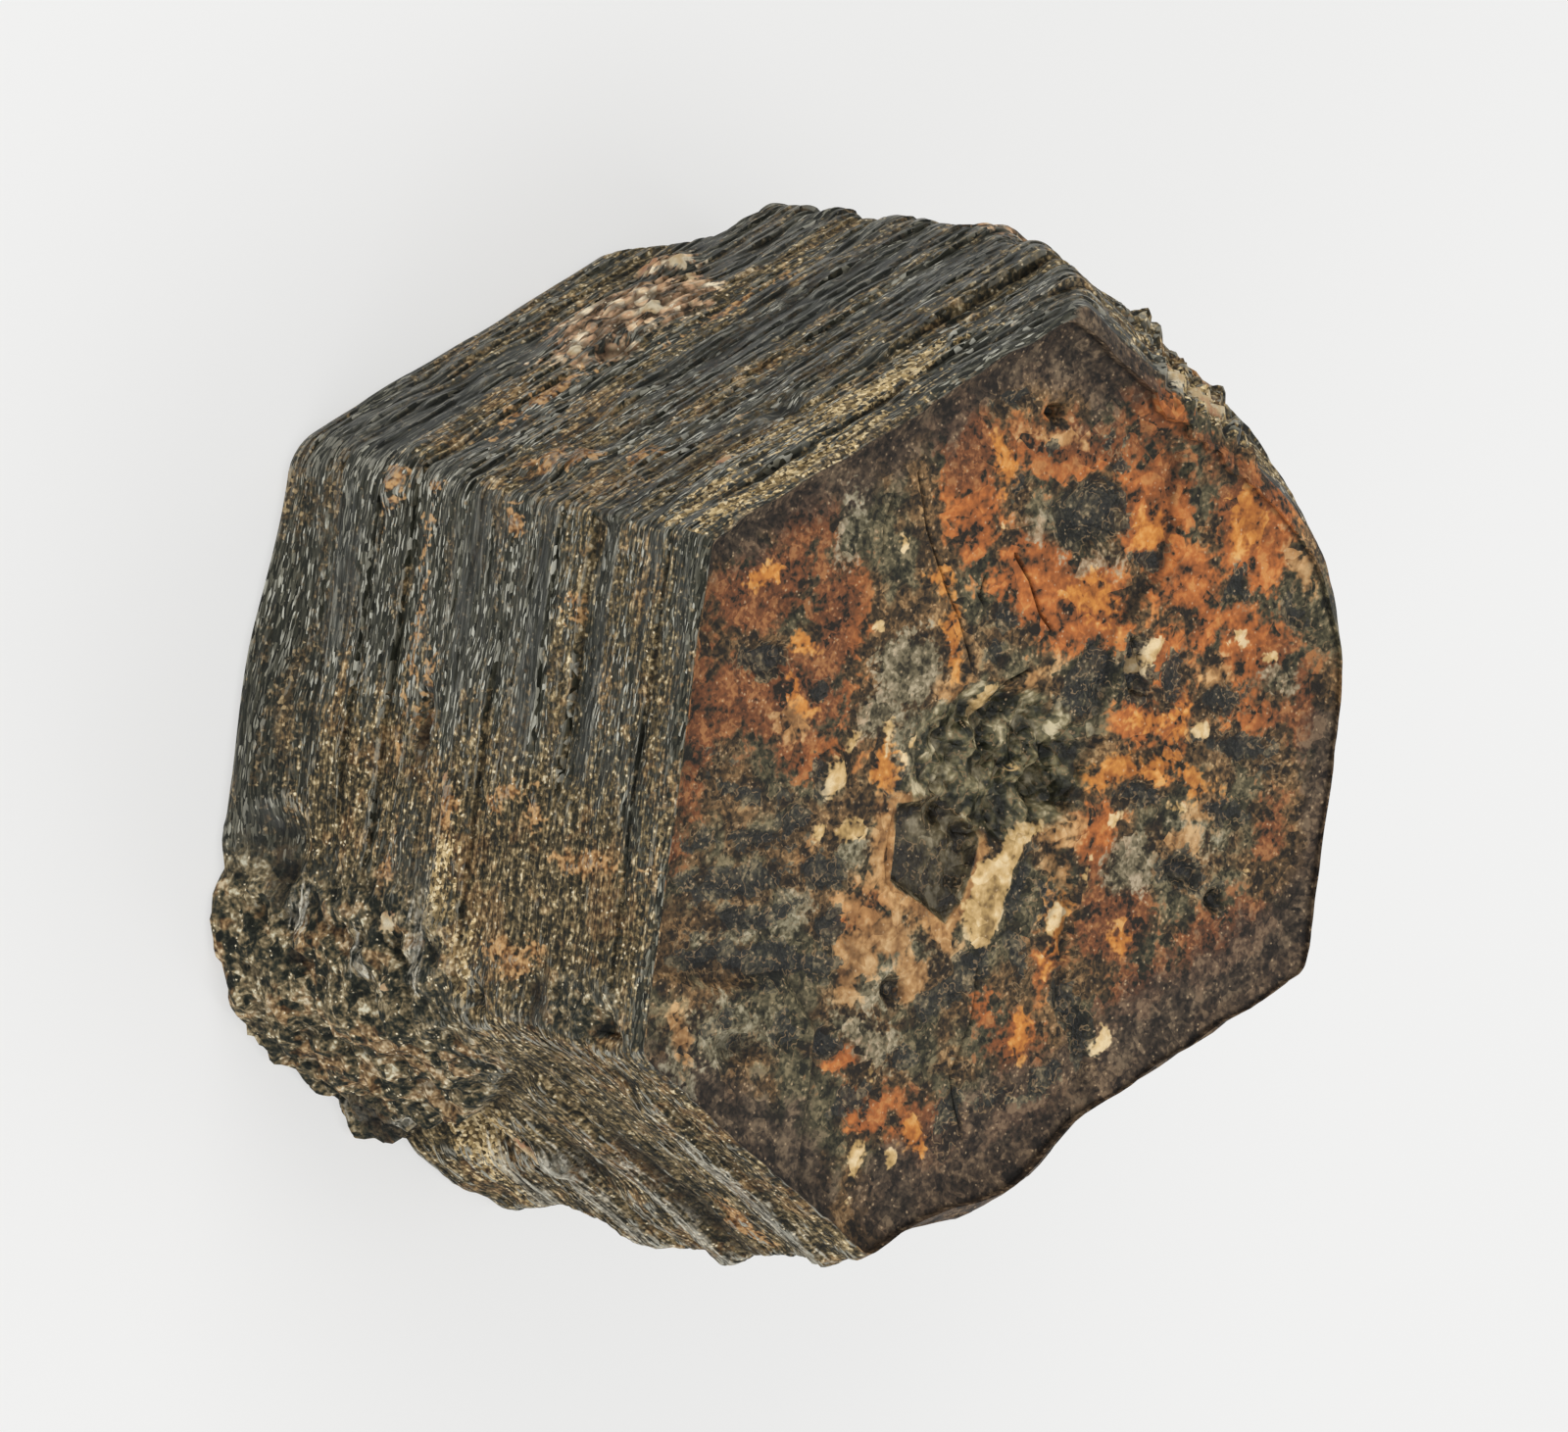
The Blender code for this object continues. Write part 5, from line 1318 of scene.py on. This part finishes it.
def crystal_material():
    """The one material of the crystal, its sides and its front face."""
    g = Graph("hibonite")
    place = g.place()
    layers = g.along_layers(place)
    drift = g.noise(place, WARP, 0.0, "Color")
    dash, _ = g.grains(g.stretched(g.moved(layers, drift, DASH_WARP), *DASH))
    crumb, crumb_middle = g.grains(g.moved(place, drift, CRUMB_WARP), CRUMB)
    chunk, chunk_middle = g.grains(g.moved(place, drift, CHUNK_WARP), CHUNK)
    textures = {
        "slow": g.noise(place, *SLOW),
        "blotch": g.noise(place, *BLOTCH),
        "fine": g.noise(place, *FINE),
        "streak": g.noise(g.stretched(layers, *STREAK), 1.0, STREAK_LEVELS),
        "band": g.noise(g.stretched(layers, *BAND), 1.0, STREAK_LEVELS),
        "dash": dash,
        "crumb": crumb,
        "chunk": chunk,
        "chunk middle": chunk_middle,
        # Specks where the painted glints are laid
        "speck": g.product(g.share("speck", crumb), g.share("speck middle", crumb_middle)),
        "gleam": g.share("gleam", g.mark("gleam")),
    }
    side, side_roughness = side_colours(g, textures)
    front, front_roughness = front_colours(g, textures)
    on_front = g.share("front", g.mark("front"))
    # Painted shade: the colour is darkened where a point lies below the surface round it
    colour = g.scaled(g.mix(side, front, on_front), g.share("painted hollow shade", g.mark("proud")))
    grit = g.product(crumb_middle, g.mark("gritty"), GRIT_BUMP)
    side_height = g.math("MULTIPLY_ADD", dash, DASH_BUMP, grit)
    chunks = g.share("chunk bump", g.mark("middle"))
    front_height = g.math("MULTIPLY_ADD", chunk_middle, chunks, g.product(crumb_middle, CRUMB_BUMP))
    inputs = {
        "Strength": BUMP_STRENGTH, "Distance": BUMP_HEIGHT * MM,
        "Height": g.mix_value(side_height, front_height, on_front),
    }
    g.put(g.shader.inputs["Base Color"], colour)
    g.put(g.shader.inputs["Roughness"], g.mix_value(side_roughness, front_roughness, on_front))
    g.put(g.shader.inputs["Normal"], g.node("ShaderNodeBump", inputs)["Normal"])
    g.shader.inputs["Specular IOR Level"].default_value = SPECULAR
    return g.material


def floor():
    """A pale floor that glows a little, as if lit from below, so that shadows on it are faint."""
    mesh = bpy.data.meshes.new("floor")
    half = FLOOR_SIZE / 2
    corners = ((-half, -half), (half, -half), (half, half), (-half, half))
    mesh.from_pydata([(x, y, -FLOOR_GAP) for x, y in corners], [], [(0, 1, 2, 3)])
    g = Graph("floor")
    g.put(g.shader.inputs["Base Color"], FLOOR_COLOUR)
    g.put(g.shader.inputs["Emission Color"], FLOOR_GLOW_COLOUR)
    g.put(g.shader.inputs["Emission Strength"], FLOOR_GLOW)
    g.put(g.shader.inputs["Roughness"], FLOOR_ROUGHNESS)
    g.put(g.shader.inputs["Specular IOR Level"], 0.0)
    made = bpy.data.objects.new("floor", mesh)
    mesh.materials.append(g.material)
    bpy.context.scene.collection.objects.link(made)
    return made


def view_axes():
    """The camera's right, up and back directions, from its azimuth, elevation and roll."""
    back = Vector((
        math.sin(VIEW_AZIMUTH) * math.cos(VIEW_ELEVATION),
        -math.cos(VIEW_AZIMUTH) * math.cos(VIEW_ELEVATION),
        math.sin(VIEW_ELEVATION),
    ))
    level = Vector((math.cos(VIEW_AZIMUTH), math.sin(VIEW_AZIMUTH), 0))
    upright = back.cross(level)
    right = math.cos(VIEW_ROLL) * level + math.sin(VIEW_ROLL) * upright
    return right, back.cross(right), back


def camera():
    data = bpy.data.cameras.new("camera")
    data.sensor_width = SENSOR
    data.lens = SENSOR * VIEW_DISTANCE / VIEW_WIDTH
    made = bpy.data.objects.new("camera", data)
    right, up, back = view_axes()
    turn = Matrix((right, up, back)).transposed().to_4x4()
    made.matrix_world = Matrix.Translation((Vector(VIEW_TARGET) + VIEW_DISTANCE * back) * MM) @ turn
    bpy.context.scene.collection.objects.link(made)
    bpy.context.scene.camera = made


def soft_light(name, toward, distance, size, power, colour):
    """A square lamp in the given direction from the view's target, facing it."""
    data = bpy.data.lights.new(name, "AREA")
    data.size = size
    data.energy = power
    data.color = colour
    made = bpy.data.objects.new(name, data)
    direction = Vector(toward).normalized()
    made.location = Vector(VIEW_TARGET) * MM + distance * direction
    made.rotation_euler = direction.to_track_quat("Z", "Y").to_euler()
    bpy.context.scene.collection.objects.link(made)


def lighting():
    world = bpy.data.worlds.new("studio")
    world.use_nodes = True
    world.node_tree.nodes["Background"].inputs["Color"].default_value = (1, 1, 1, 1)
    world.node_tree.nodes["Background"].inputs["Strength"].default_value = WORLD_STRENGTH
    bpy.context.scene.world = world
    for light in LIGHTS:
        soft_light(*light)
    bpy.context.scene.view_settings.view_transform = "Standard"


piece = crystal()
piece.data.materials.append(crystal_material())
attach(piece, BODY)
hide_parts(NODE)
floor()
camera()
lighting()
